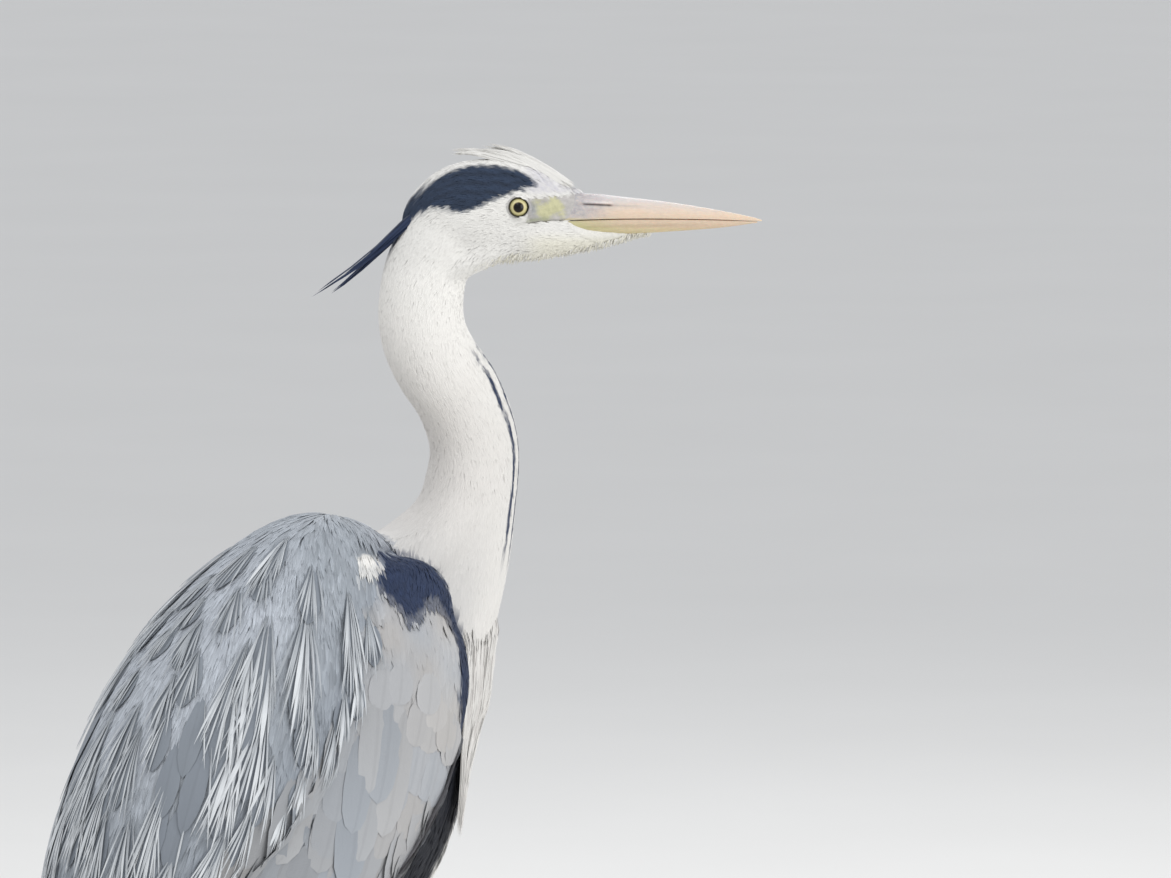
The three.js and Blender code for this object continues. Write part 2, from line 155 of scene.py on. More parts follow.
class Body:
    """An oval body along a path: half wide each way, top above the path and under below it."""

    def __init__(self, path, left, half, top, under=None, blunt=2.0, lie=1):
        self.path = Path(path)
        self.left = left if callable(left) else lambda t: np.array(left, float)
        self.half, self.top, self.under = half, top, under or top
        self.blunt, self.lie = blunt, lie
        self.mirror = 1

    def mirrored(self):
        """The same body on the bird's other side."""
        other = copy.copy(self)
        other.path = copy.copy(self.path)
        other.path.dense = self.path.dense * (1, -1, 1)
        other.left = lambda t: self.left(t) * (1, -1, 1)
        other.mirror = -1
        return other

    def axes(self, t):
        forward = self.path.along(t)
        left = np.broadcast_to(self.left(t), forward.shape)
        side = unit(left - forward * (left * forward).sum(-1, keepdims=True))
        return forward, side, np.cross(forward, side) * self.mirror

    def surface(self, t, a, depth=0.0):
        """Points at share t of the length and angle a: 0 is the left side, 90 degrees the top."""
        t, a = np.broadcast_arrays(np.asarray(t, float), np.asarray(a, float))
        forward, side, up = self.axes(t)
        power = 2 / self.blunt
        wide = np.sign(np.cos(a)) * np.abs(np.cos(a)) ** power
        high = np.sign(np.sin(a)) * np.abs(np.sin(a)) ** power
        rise = np.where(high > 0, self.top(t), self.under(t))
        half = np.maximum(self.half(t) - depth, 0.4)
        rise = np.maximum(rise - depth, 0.4)
        return self.path.at(t) + side * (wide * half)[..., None] + up * (high * rise)[..., None]

    def grid(self, depth=0.0, along=60, around=48, even=False):
        """A closed mesh of the body: its points and its faces."""
        s = np.linspace(0, 1, along + 1)
        t = s if even else (1 - np.cos(np.pi * s)) / 2
        a = np.linspace(0, 2 * np.pi, around, endpoint=False)
        points = self.surface(t[:, None], a[None, :], depth)
        forward = self.path.along(np.array([0.0, 1.0]))
        points[0] += forward[0] * depth
        points[-1] -= forward[1] * depth
        faces = []
        for i in range(along):
            for j in range(around):
                k = (j + 1) % around
                face = (i * around + j, i * around + k, (i + 1) * around + k, (i + 1) * around + j)
                faces.append(face if self.mirror < 0 else face[::-1])
        ring = list(range(around))
        caps = [ring, [along * around + j for j in ring][::-1]]
        faces += caps if self.mirror > 0 else [c[::-1] for c in caps]
        return points.reshape(-1, 3), faces


HEAD_LEFT = HEAD_AXES[:, 1]
SKULL = Body(
    from_head([(-76, 0, -14), (-40, 0, -5), (0, 0, -3), (42, 0, -3)]),
    HEAD_LEFT,
    profile((0, 3), (0.08, 11), (0.25, 18), (0.42, 19.5), (0.62, 16.8), (0.8, 13.5), (0.95, 10), (1, 8)),
    profile((0, 4), (0.08, 16), (0.25, 29), (0.42, 34), (0.62, 33), (0.8, 26), (0.95, 14), (1, 9)),
    profile((0, 4), (0.08, 14), (0.25, 26), (0.42, 33), (0.62, 33), (0.8, 26), (0.95, 19), (1, 15)),
    lie=-1,
)
CHIN = Body(
    from_head([(-30, 0, -18), (10, 0, -19), (50, 0, -17), (84, 0, -16.5)]),
    HEAD_LEFT,
    profile((0, 8), (0.3, 15), (0.55, 12), (0.8, 7), (0.95, 3.4), (1, 1.6)),
    profile((0, 6), (0.3, 8), (0.6, 7), (0.85, 3), (1, 0.6)),
    profile((0, 8), (0.3, 17), (0.5, 14.5), (0.8, 7.5), (0.95, 3), (1, 1)),
    lie=-1,
)
BILL_TIP = 158
BILL_UPPER = Body(
    from_head([(28, 0, -8.5), (66, 0, -6.9), (120, 0, -6.6), (BILL_TIP, 0, -7.4)]),
    HEAD_LEFT,
    profile((0, 9.5), (0.2, 9.3), (0.5, 6.6), (0.8, 3.4), (0.95, 1.4), (1, 0.5)),
    profile((0, 17.5), (0.16, 15.8), (0.3, 13.5), (0.55, 9.9), (0.8, 5.3), (0.95, 2.1), (1, 0.5)),
    lambda t: 0.25 + 0 * t,
)
BILL_LOWER = Body(
    from_head([(28, 0, -9.3), (66, 0, -7.7), (120, 0, -7.4), (BILL_TIP - 3, 0, -8.2)]),
    HEAD_LEFT,
    profile((0, 9), (0.2, 8.8), (0.5, 6), (0.8, 3), (0.95, 1.3), (1, 0.5)),
    lambda t: 0.25 + 0 * t,
    profile((0, 9.4), (0.3, 10.1), (0.55, 8.2), (0.8, 5.1), (0.95, 1.8), (1, 0.5)),
)
NECK_TWIST = profile((0, 0), (0.45, 0.05), (0.75, 0.6), (0.95, 1), (1, 1))


def neck_left(t):
    """The neck's left side, which turns with the head."""
    turn = -HEAD_TURN * NECK_TWIST(np.asarray(t, float))
    return np.stack([-np.sin(turn), np.cos(turn), 0 * turn], -1)


NECK = Body(
    [
        (52, 0, 498),
        (96, 0, 538),
        (123, 0, 575),
        (137, 0, 612),
        (143, 0, 648),
        (129, 0, 682),
        (110, 0, 705),
        (98, -1, 727),
        (94.5, -4.6, 752),
        (98.8, -12.8, 782),
        (112, -28, 803),
    ],
    neck_left,
    profile((0, 46), (0.15, 44), (0.33, 30), (0.55, 23.5), (0.8, 21.5), (0.93, 19), (1, 12)),
    profile((0, 50), (0.16, 46), (0.31, 35), (0.5, 29), (0.8, 27), (0.93, 24), (1, 12)),
    profile((0, 62), (0.18, 53), (0.27, 45), (0.37, 38), (0.5, 32.5), (0.8, 28), (0.93, 24), (1, 12)),
    lie=-1,
)
TRUNK = Body(
    [(-176, 0, 292), (-112, 0, 352), (-42, 0, 424), (26, 0, 492), (86, 0, 552)],
    (0, 1, 0),
    profile((0, 10), (0.1, 30), (0.3, 52), (0.5, 63), (0.7, 66), (0.87, 56), (0.96, 40), (1, 20)),
    profile((0, 8), (0.1, 40), (0.3, 78), (0.5, 98), (0.7, 104), (0.85, 84), (0.95, 50), (1, 24)),
    profile((0, 10), (0.1, 36), (0.3, 90), (0.48, 128), (0.66, 138), (0.84, 110), (0.95, 68), (1, 30)),
    blunt=2.1,
    lie=-1,
)
TAIL = Body(
    [(-150, 0, 304), (-200, 0, 246), (-248, 0, 182)],
    (0, 1, 0),
    profile((0, 24), (0.5, 32), (1, 38)),
    profile((0, 16), (0.5, 7), (1, 2)),
    blunt=3,
)
CAPE = Body(
    [(66, 0, 576), (22, 0, 564), (-44, 0, 486), (-116, 0, 400), (-202, 0, 296)],
    (0, 1, 0),
    profile((0, 22), (0.13, 54), (0.35, 82), (0.6, 84), (0.85, 58), (1, 22)),
    profile((0, 17), (0.1, 43), (0.25, 47.5), (0.45, 48.5), (0.65, 45), (0.88, 30), (1, 8)),
    profile((0, 22), (0.16, 70), (0.4, 90), (0.7, 70), (1, 10)),
    blunt=2.3,
)
BREAST = Body(
    [(148, 0, 566), (137, 0, 505), (122, 0, 445), (104, 0, 385)],
    (0, 1, 0),
    profile((0, 14), (0.3, 30), (0.7, 22), (1, 3)),
    profile((0, 12), (0.4, 15), (0.8, 10), (1, 1)),
    profile((0, 6), (0.4, 10), (0.8, 8), (1, 1)),
)
OUTWARD = (-0.08, -1, 0.1)
WING = {
    "coverts": Body(
        [(72, -46, 560), (38, -61, 514), (-20, -62, 446), (-84, -58, 372), (-140, -49, 306)],
        OUTWARD,
        profile((0, 6), (0.12, 18), (0.4, 21), (0.75, 15), (1, 4)),
        profile((0, 24), (0.15, 56), (0.4, 66), (0.75, 66), (1, 24)),
        profile((0, 14), (0.14, 44), (0.4, 66), (0.75, 58), (1, 14)),
    ),
    "secondaries": Body(
        [(0, -60, 446), (-70, -53, 370), (-140, -42, 296), (-218, -34, 214)],
        OUTWARD,
        profile((0, 8), (0.5, 9), (0.85, 6), (1, 2)),
        profile((0, 50), (0.5, 56), (0.85, 32), (1, 6)),
        profile((0, 50), (0.5, 46), (0.85, 24), (1, 6)),
    ),
    "primaries": Body(
        [(-60, -46, 358), (-124, -36, 290), (-186, -27, 226), (-246, -21, 166)],
        OUTWARD,
        profile((0, 5), (0.5, 5), (0.85, 3.5), (1, 1.2)),
        profile((0, 20), (0.5, 28), (0.85, 16), (1, 3)),
        profile((0, 20), (0.5, 22), (0.85, 12), (1, 3)),
    ),
}
SHOULDER_FILL = Body(
    [(14, -36, 566), (40, -42, 568), (62, -46, 562), (76, -51, 546)],
    OUTWARD,
    profile((0, 8), (0.3, 17), (0.7, 18), (1, 8)),
    profile((0, 6), (0.4, 16), (0.8, 15), (1, 6)),
    profile((0, 8), (0.5, 22), (1, 10)),
)
THROAT_FILL = Body(
    from_head([(-46, 0, -42), (-28, 0, -34), (-12, 0, -29.5), (12, 0, -26)]),
    HEAD_LEFT,
    profile((0, 16), (0.3, 15), (0.6, 13), (1, 9)),
    profile((0, 8), (1, 8)),
    profile((0, 10), (0.3, 11), (0.6, 8), (1, 6)),
)
NAPE_FILL = Body(
    [(40, 0, 566), (68, 0, 573), (93, 0, 582), (116, 0, 608)],
    (0, 1, 0),
    profile((0, 24), (0.5, 36), (1, 26)),
    profile((0, 16), (0.35, 22), (0.7, 21), (1, 11)),
    profile((0, 10), (1, 10)),
)
SHOULDERS = {RIGHT: SHOULDER_FILL, LEFT: SHOULDER_FILL.mirrored()}
WINGS = {RIGHT: WING, LEFT: {name: body.mirrored() for name, body in WING.items()}}
HEM_FRONT, HEM_REAR = np.array([68, 560]), np.array([-222, 290])


def above_hem(points):
    """How far a point is above the line where the scapular plumes end, in millimetres."""
    x, z = HEM_REAR - HEM_FRONT
    normal = np.array([z, -x]) / math.hypot(x, z)
    return (points[..., [0, 2]] - HEM_FRONT) @ normal


def thigh(side):
    stride = STRIDES[side]
    body = Body(
        [(-8, -30, 400), (2, -STANCE, 352), (stride + 16, -STANCE, 306), (stride - 2, -STANCE, 256)],
        (0, -1, 0),
        profile((0, 24), (0.3, 32), (0.65, 20), (0.92, 10), (1, 7)),
        profile((0, 30), (0.3, 40), (0.65, 25), (0.92, 11), (1, 8)),
    )
    return body if side < 0 else body.mirrored()


THIGHS = {side: thigh(side) for side in (RIGHT, LEFT)}

# ---------------------------------------------------------------- colours
def colour(r, g, b):
    """An everyday 0-255 colour as the linear one that shaders use."""
    c = np.array([r, g, b]) / 255
    return np.where(c <= 0.04045, c / 12.92, ((c + 0.055) / 1.055) ** 2.4)


WHITE = colour(223, 221, 216)
CREAM = colour(222, 218, 200)
NECK_GREY = colour(208, 204, 199)
NECK_FOOT = colour(180, 179, 177)
MANTLE = colour(135, 141, 147)
# painted shade: the mantle's tone where the plumes hang over it near the hem
MANTLE_HEM_SHADE = colour(122, 128, 136)
# painted shade: the webs' tone under the plumes near the hem
WEB = colour(116, 122, 130)
MANTLE_LIGHT = colour(190, 195, 202)
PLUME = colour(213, 216, 218)
COVERT = colour(159, 162, 166)
COVERT_DARK = colour(143, 148, 154)
SLATE = colour(36, 49, 76)
FLANK = colour(10, 14, 25)
FLIGHT = colour(96, 102, 114)
PRIMARY = colour(50, 55, 68)
LORES = colour(187, 184, 146)
LORES_GREY = colour(172, 168, 168)
LORES_OLIVE = colour(146, 149, 124)
# painted shade for the hollow at the front corner of the eye
LORES_CORNER_SHADE = colour(142, 145, 148)
GAPE_LINE = colour(84, 80, 70)
LID_DARK = colour(48, 46, 36)
FOREHEAD_GREY = colour(196, 194, 200)
MANTLE_AT_NECK = colour(184, 187, 193)
COVERT_WARM = colour(166, 163, 160)
TERTIAL_PALE = colour(172, 170, 168)
EDGE_GREY = colour(112, 110, 113)


def mix(a, b, share):
    """Colours between a and b."""
    share = np.asarray(share, float)[..., None]
    return a * (1 - share) + b * share


def waves(points, size, seed=0):
    """A smooth, repeatable wavering between -1 and 1, about size millimetres across."""
    rng = np.random.default_rng(seed)
    total = np.zeros(points.shape[:-1])
    for _ in range(5):
        turn = unit(rng.normal(size=3)) * rng.uniform(0.7, 1.5) * 2 * np.pi / (2 * size)
        total += np.sin(points @ turn + rng.uniform(0, 2 * np.pi))
    return np.clip(total / 2.6, -1, 1)


# By place along the head, in its frame: the upper and lower edges of the dark stripe on each side
STRIPE_TOP = profile((-84, -6), (-70, 3), (-60, 14), (-49, 22.5), (-30, 27), (-12, 26), (2, 22), (13, 14.5))
STRIPE_FOOT = profile((-84, -34), (-72, -15), (-64, -5), (-50, -1), (-36, -3.5), (-20, 2), (-6, 8), (13, 14))
GAPE = profile((-6, -13.2), (6, -11.2), (18, -9.6), (32, -8.9))
CROWN_WHITE = 7.5  # half the breadth of the white band between the two stripes


def stripe(h, ragged):
    """How much of a point of the head, in its frame, is in the dark stripe."""
    x, y, z = h[..., 0], np.abs(h[..., 1]), h[..., 2]
    inside = smooth(STRIPE_TOP(x) - z, -0.8, 0.8) * smooth(z - STRIPE_FOOT(x) + ragged, -1.0, 0.8)
    open_crown = smooth(y + ragged * 0.6, CROWN_WHITE - 1, CROWN_WHITE + 1.5)
    open_crown = np.maximum(open_crown, smooth(-x, 56, 64))
    return inside * open_crown * smooth(14 - x, 0, 3) * smooth(x, -86, -80)


def bare(h):
    """How much of a point of the head is bare skin: the lores, the gape and the ring of the eye."""
    x, z = h[..., 0], h[..., 2]
    ragged = waves(h, 1.3, 31) + 1.3 * waves(h, 3.2, 32) * smooth(x, 8, 14)
    ring = smooth(7.1 - np.hypot(x, z), -0.3, 0.3)
    lores = smooth(x + 0.8 * ragged, 4.5, 7) * smooth(4.6 + 0.09 * x + 0.9 * ragged - z, -0.8, 0.8)
    lores = lores * smooth(z - GAPE(x) + 0.6 * ragged, -1.4, -0.2)
    return np.clip(ring + lores, 0, 1)


def bare_colour(h):
    """Mauve grey bare skin: a yellow patch before the eye, an olive strip over the gape, and dark lids."""
    x, z = h[..., 0], h[..., 2]
    ragged = 0.35 * waves(h, 3.3, 4) + 0.15 * waves(h, 1.2, 6)
    off_core = np.hypot((x - 20) / 9, (z + 0.8) / 6.5) + ragged
    tone = mix(LORES, LORES_GREY, 0.9 * smooth(off_core, 0.6, 1.4))
    # painted shade: a grey wedge in the hollow at the eye's front corner
    wedge = mound(x, z, (9.6, -1), 2.6, 5)
    tone = mix(tone, LORES_CORNER_SHADE, 0.75 * wedge)
    strip = bell(z - GAPE(x) - 2.2, 1.3) * smooth(24 - x, 0, 8)
    tone = mix(tone, LORES_OLIVE, np.clip(0.8 * strip + 0.2 * ragged * strip, 0, 1))
    line = bell(z - GAPE(x), 0.6) * smooth(x, -6, 0)
    tone = mix(tone, GAPE_LINE, 0.85 * line)
    tone = tone * (1 + 0.06 * waves(h * (0.5, 1, 1.5), 1.3, 7) + 0.06 * waves(h, 3.1, 8))[..., None]
    rim = smooth(np.hypot(x, z), 6.3, 7.0)
    return mix(np.broadcast_to(LID_DARK, tone.shape), tone, rim)


def head_colour(p, h):
    """The head is white, creamier under the chin and grizzled on the forehead, with the dark stripe."""
    x, z = h[..., 0], h[..., 2]
    ragged = waves(p, 2.2, 1) * 1.6
    base = mix(WHITE, CREAM, 0.7 * smooth(-z, 14, 24) * smooth(x, -4, 20))
    grizzle = smooth(x, 0, 12) * smooth(z, 7, 11) * (0.6 + 0.4 * waves(p, 1.6, 2))
    base = mix(base, FOREHEAD_GREY, np.clip(grizzle, 0, 1))
    slate = SLATE * (0.95, 0.95, 0.78) * (1.05 + 0.3 * waves(h * (0.35, 1, 1), 2.2, 12))[..., None]
    return mix(base, slate, stripe(h, ragged))


FORENECK = np.array([math.cos(HEAD_TURN), -math.sin(HEAD_TURN), 0])  # the front of the neck turns with the head


def neck_colour(p, t, a):
    """The neck is warm grey, paler in front, with two broken dark lines down the front."""
    front = np.cos(a + np.pi / 2)  # 1 in front, -1 behind
    base = mix(WHITE, NECK_GREY, smooth(0.95 - t, 0, 0.35) * (0.6 - 0.4 * front))
    base = mix(base, NECK_FOOT, 0.8 * smooth(0.5 - t, 0, 0.4) * smooth(0.5 - front, 0, 0.8))
    base = base * (1 + 0.1 * smooth(t, 0.45, 0.8))[..., None]
    out = p - NECK.path.at(t)
    along = NECK.path.along(t)
    aside = (out * np.cross(along, FORENECK)).sum(-1)
    off = np.abs(aside - 3.6 * smooth(p[..., 2], 676, 700))
    ahead = (unit(out) * FORENECK).sum(-1)
    dashes = smooth(p[..., 2], 690, 706)
    ragged = 0.7 * waves(p, 5, 5)
    line = smooth(2.1 + 0.8 * dashes - np.abs(off + ragged - 4.8), 0, 1.0) * smooth(ahead, 0.4, 0.6)
    broken = smooth(waves(p * (1, 1, 0.4), 3.4, 9), -1.05 + 0.8 * dashes, -0.8 + 0.8 * dashes)
    reach = smooth(t, 0.31, 0.36) * smooth(0.7 - t, 0, 0.05)
    marked = mix(base, SLATE, line * broken * reach)
    return mix(marked, shoulder_colour(p, base), smooth(0.34 - t, 0, 0.04))


def trunk_colour(p, t, a):
    """The trunk is white below, with a broad dark band down each flank from the shoulder to the vent."""
    off = np.degrees(np.arccos(np.clip(-np.sin(a), -1, 1)))  # degrees from the midline below
    band = smooth(off + 3 * waves(p, 7, 6), 24, 30) * smooth(86 - off, 0, 10) * smooth(t, 0.1, 0.2)
    band = band * smooth(1.02 - t, 0, 0.06) * smooth(476 - p[..., 2], 0, 14)
    return shoulder_colour(p, mix(mix(WHITE, NECK_GREY, 0.25 + 0 * t), FLANK, band))


def forward_and_out(p):
    """How far forward and outward a point of the shoulder is: the patch on the carpal joint wraps round it."""
    return 0.743 * p[..., 0] + 0.669 * np.abs(p[..., 1])


# By height: where the dark front edge of the wing begins, and the middle of the dark band that runs down to it
WING_EDGE = profile((440, 86), (466, 91), (480, 97), (500, 97), (522, 97), (535, 93.5), (548, 89), (560, 84))
WING_BAND = profile(
    (460, 97), (483, 100.5), (510, 100.5), (524, 99.5), (534, 97.5), (547, 92), (555, 87.7), (561, 84)
)
MIDLINE = 12  # how near the middle of the back the wings' markings don't come
# By height: the rear and front edges of the dark patch on the carpal joint
PATCH_REAR = profile((546, 63.5), (551, 61), (558, 55), (564, 50), (570, 45), (576, 43), (584, 44.5), (592, 47))
PATCH_FRONT = profile(
    (546, 67), (552, 73), (557, 76), (560, 86.5), (563, 90),
    (568, 88.5), (575, 83), (582, 73), (588, 59), (592, 51),
)
PATCH_ENDS = (547, 589)
PATCH_SCALE = 14  # how far outside the patch counts as one more
CARPAL_SPOT = {"place": (38.6, 582.8), "long": 6.8, "high": 3.9}


def shoulder_view(p):
    """How far forward and out a point of the shoulder is, and how high, seen from beside and a little above."""
    return forward_and_out(p), p[..., 2] + 0.105 * (0.669 * p[..., 0] - 0.743 * np.abs(p[..., 1]) - 6)


def carpal(p):
    """How far out a point is from the carpal patch and from the white spot behind it: 1 at their edges."""
    u, z = shoulder_view(p)
    aside = np.maximum(PATCH_REAR(z) - u, u - PATCH_FRONT(z))
    beyond = np.maximum(aside, np.maximum(PATCH_ENDS[0] - z, z - PATCH_ENDS[1]))
    along, above = u - CARPAL_SPOT["place"][0], z - CARPAL_SPOT["place"][1]
    spot = np.hypot(along / CARPAL_SPOT["long"], above / CARPAL_SPOT["high"])
    on_back = np.where(np.abs(p[..., 1]) > MIDLINE, 0, 9)
    return 1 + beyond / PATCH_SCALE + on_back, spot + on_back


def shoulder_colour(p, base):
    """Adds the carpal patch, the dark band that runs down from it and the white spot to a colour."""
    u, z = shoulder_view(p)
    patch, spot = carpal(p)
    band = smooth(3.1 - np.abs(u - WING_BAND(z)) - 0.6 * waves(p, 4, 9), 0, 1.5)
    band = band * smooth(z, 462, 476) * smooth(568 - z, 0, 4) * (np.abs(p[..., 1]) > MIDLINE)
    slate = SLATE * (0.95 + 0.2 * waves(p * (1, 1, 0.5), 2.6, 13))[..., None]
    base = mix(base, slate * 0.85, band)
    base = mix(base, slate, smooth(1.03 + 0.06 * waves(p, 3, 8) - patch, 0, 0.08))
    return mix(base, WHITE, smooth(1.08 + 0.1 * waves(p, 3, 4) - spot, 0, 0.16))


def beside_neck(p, base):
    """Gives the strip between the carpal patch and the neck the tone of the plumes that lap over it."""
    u, z = shoulder_view(p)
    strip = smooth(u - PATCH_FRONT(z), 0.2, 1.6) * smooth(z, 560, 564) * smooth(592 - z, 0, 3)
    return mix(base, mix(NECK_GREY, NECK_FOOT, 0.3 + 0 * u), strip)


def cape_colour(p):
    """The mantle is speckled grey, paler by the neck and behind, and darker towards its hem by painted shade
    under the plumes.
    """
    speckle = 0.5 + 0.5 * waves(p, 5, 7)
    base = mix(MANTLE, MANTLE_LIGHT, 0.32 * speckle)
    base = mix(base, MANTLE_AT_NECK, 0.85 * smooth(p[..., 0], 15, 55))
    # painted shade under the hanging plumes, deepening towards the hem
    base = mix(base, MANTLE_HEM_SHADE, 0.8 * smooth(75 - above_hem(p), 0, 60))
    base = mix(base, MANTLE_LIGHT, 0.55 * smooth(above_hem(p), 55, 100) * smooth(-p[..., 0], 10, 70))
    return shoulder_colour(p, beside_neck(p, base))


def wing_colour(p, edged=True):
    """Pale grey coverts, whiter at the wrist, with a dark front edge below the carpal patch if edged."""
    forward = forward_and_out(p)
    warm = mix(COVERT, COVERT_WARM, 0.5 + 0.5 * waves(p, 24, 12))
    base = mix(warm, COVERT_DARK, smooth(-p[..., 0], -30, 90) * 0.9)
    wrist = smooth(forward - 0.1 * (p[..., 2] - 500), 70, 90) * smooth(p[..., 2], 430, 500)
    base = mix(base, WHITE, 0.12 * wrist)
    start = WING_EDGE(p[..., 2])
    edge = smooth(forward + waves(p, 5, 9) * 1.5, start, start + 1.5) * smooth(p[..., 2], 455, 470)
    return shoulder_colour(p, beside_neck(p, mix(base, SLATE, edge * edged)))


# ---------------------------------------------------------------- meshes from arrays
def make_object(name, mesh, *bodies_replaced, slot, material):
    piece = bpy.data.objects.new(name, mesh)
    bpy.context.scene.collection.objects.link(piece)
    mesh.materials.append(material)
    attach(piece, "root")
    if bodies_replaced:
        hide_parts(*bodies_replaced)
    return piece


def mesh_of(name, points, faces):
    """A smooth mesh from points in the bird's millimetres."""
    mesh = bpy.data.meshes.new(name)
    mesh.from_pydata(metres(points).tolist(), [], [list(map(int, f)) for f in faces])
    mesh.polygons.foreach_set("use_smooth", np.ones(len(mesh.polygons), bool))
    mesh.update()
    return mesh


def normals_of(mesh):
    n = np.empty(len(mesh.vertices) * 3, np.float32)
    mesh.vertices.foreach_get("normal", n)
    return n.reshape(-1, 3).astype(float)


def set_points(mesh, points):
    mesh.vertices.foreach_set("co", metres(points).ravel())
    mesh.update()


def paint(mesh, name, values):
    """Stores a colour or a vector for each point, for the materials to read."""
    values = np.asarray(values, float)
    if name == "Coat":
        layer = mesh.attributes.new(name, "FLOAT_COLOR", "POINT")
        layer.data.foreach_set("color", np.c_[values, np.ones(len(values))].astype(np.float32).ravel())
    elif values.ndim == 1:
        mesh.attributes.new(name, "FLOAT", "POINT").data.foreach_set("value", values.astype(np.float32))
    else:
        layer = mesh.attributes.new(name, "FLOAT_VECTOR", "POINT")
        layer.data.foreach_set("vector", values.astype(np.float32).ravel())


def remeshed(points, faces, voxel, rounds):
    """The one outer surface of overlapping closed bodies, evened out: points and faces."""
    mesh = bpy.data.meshes.new("rough")
    mesh.from_pydata(points.tolist(), [], [list(map(int, f)) for f in faces])
    rough = bpy.data.objects.new("rough", mesh)
    bpy.context.scene.collection.objects.link(rough)
    union = rough.modifiers.new("union", "REMESH")
    union.mode, union.voxel_size = "VOXEL", voxel
    even = rough.modifiers.new("even", "SMOOTH")
    even.factor, even.iterations = 0.5, rounds
    done = bpy.data.meshes.new_from_object(rough.evaluated_get(bpy.context.evaluated_depsgraph_get()))
    bpy.data.objects.remove(rough)
    return done


def joined(grids):
    """Several meshes as one: all their points and all their faces."""
    points, faces, start = [], [], 0
    for p, f in grids:
        points.append(p)
        faces += [[start + i for i in face] for face in f]
        start += len(p)
    return np.vstack(points), faces


def unwrap(piece):
    """Gives a piece the map named OFBake, an unwrap of its own shape."""
    piece.data.uv_layers.new(name="OFBake")
    bpy.ops.object.select_all(action="DESELECT")
    bpy.context.view_layer.objects.active = piece
    piece.select_set(True)
    bpy.ops.object.mode_set(mode="EDIT")
    bpy.ops.mesh.select_all(action="SELECT")
    bpy.ops.uv.smart_project(angle_limit=math.radians(60), island_margin=0.002)
    bpy.ops.object.mode_set(mode="OBJECT")


# ---------------------------------------------------------------- skin
COAT_DEPTH = {"trunk": 4.4, "cape": 4.4, "neck": 0.2, "skull": 1.1, "chin": 1, "coverts": 3, "thigh": 3.4}
FLESH = (
    [("skull", SKULL), ("chin", CHIN), ("neck", NECK), ("trunk", TRUNK), ("cape", CAPE)]
    + [("coverts", WINGS[side]["coverts"]) for side in (RIGHT, LEFT)]
    + [("coverts", SHOULDERS[side]) for side in (RIGHT, LEFT)]
    + [("neck", NAPE_FILL), ("chin", THROAT_FILL)]
    + [("thigh", THIGHS[side]) for side in (RIGHT, LEFT)]
)
SKIN_VOXEL = 3.0
EYE_FINE = 11  # how far round each eye the skin is finest


def rough_skin():
    """The skin before its details: every flesh body shrunk by its coat's depth, as one surface."""
    grids = []
    for name, body in FLESH:
        p, f = body.grid(COAT_DEPTH[name])
        if name == "cape":
            sunk = np.minimum(above_hem(p) - COAT_DEPTH[name], 0)
            x, z = (HEM_REAR - HEM_FRONT) / np.linalg.norm(HEM_REAR - HEM_FRONT)
            p = p - sunk[:, None] * np.array([z, 0, -x])
        grids.append((p, f))
    mesh = remeshed(*joined(grids), SKIN_VOXEL, 10)
    soften(mesh, lambda p: (np.abs(p - (66, 0, 590)) < (50, 90, 56)).all(axis=1), 30)
    return mesh


def ease(grid, verts, rounds):
    """Draws vertices towards the middle of their neighbours."""
    axes = {"use_axis_x": True, "use_axis_y": True, "use_axis_z": True}
    for _ in range(rounds):
        bmesh.ops.smooth_vert(grid, verts=verts, factor=0.5, **axes)


def soften(mesh, chosen, rounds):
    """Smooths the chosen part of a mesh, where bodies meet."""
    grid = bmesh.new()
    grid.from_mesh(mesh)
    grid.verts.ensure_lookup_table()
    near = chosen(np.array([v.co for v in grid.verts]))
    ease(grid, [v for v in grid.verts if near[v.index]], rounds)
    grid.to_mesh(mesh)
    grid.free()


def refine(mesh, chosen, rounds):
    """Splits the faces whose points are all chosen, in place, and evens out what is new."""
    grid = bmesh.new()
    grid.from_mesh(mesh)
    for _ in range(rounds):
        grid.verts.ensure_lookup_table()
        at = np.array([v.co for v in grid.verts])
        keep = chosen(at)
        faces = [f for f in grid.faces if all(keep[v.index] for v in f.verts)]
        edges = list({e for f in faces for e in f.edges})
        bmesh.ops.subdivide_edges(grid, edges=edges, cuts=1, use_grid_fill=True)
        grid.verts.index_update()
        at = np.array([v.co for v in grid.verts])
        keep = chosen(at)
        grid.verts.ensure_lookup_table()
        near = [v for v in grid.verts if keep[v.index]]
        ease(grid, near, 2)
    bmesh.ops.triangulate(grid, faces=[f for f in grid.faces if len(f.verts) > 4])
    grid.to_mesh(mesh)
    grid.free()


# by distance from the eye's middle: how far out the lids' surface is
LID = profile(
    (0, 10.5), (4.9, 11), (5.5, 15.2), (5.85, 16.7), (6.3, 17.3), (6.9, 17.2), (7.7, 16.3), (9.2, 15.6)
)
BROW = {"place": (3, 9.5), "long": 9, "high": 2.6, "proud": 0.9}


def sculpt_head(h):
    """Adds the eye sockets, lids, brows, lores and the crease of the gape to points in the head's frame."""
    x, y, z = h.T.copy()
    side, off = np.sign(y), np.abs(y)
    on_cheek = smooth(off, 6, 9)
    off = off + BROW["proud"] * mound(x, z, BROW["place"], BROW["long"], BROW["high"]) * on_cheek
    off = off - 0.9 * mound(x, z, (13, 1), 6, 4.5) * on_cheek  # the hollow before the eye
    crease = bell(z - GAPE(x), 0.8) * smooth(x, -8, -2) * smooth(36 - x, 0, 2)
    lip = 0.35 * bell(z - GAPE(x) - 1.9, 0.9) * smooth(x, -2, 6) * smooth(36 - x, 0, 3)
    off = off - (crease - lip) * on_cheek
    reach = np.hypot(x, z)
    corner = np.maximum(x / np.maximum(reach, 0.1), 0) ** 6
    r = reach / (1 + 0.16 * corner)
    near = smooth(9.6 - r, 0, 2.4) * on_cheek
    off = off * (1 - near) + LID(r) * near
    return np.stack([x, side * off, z], 1)


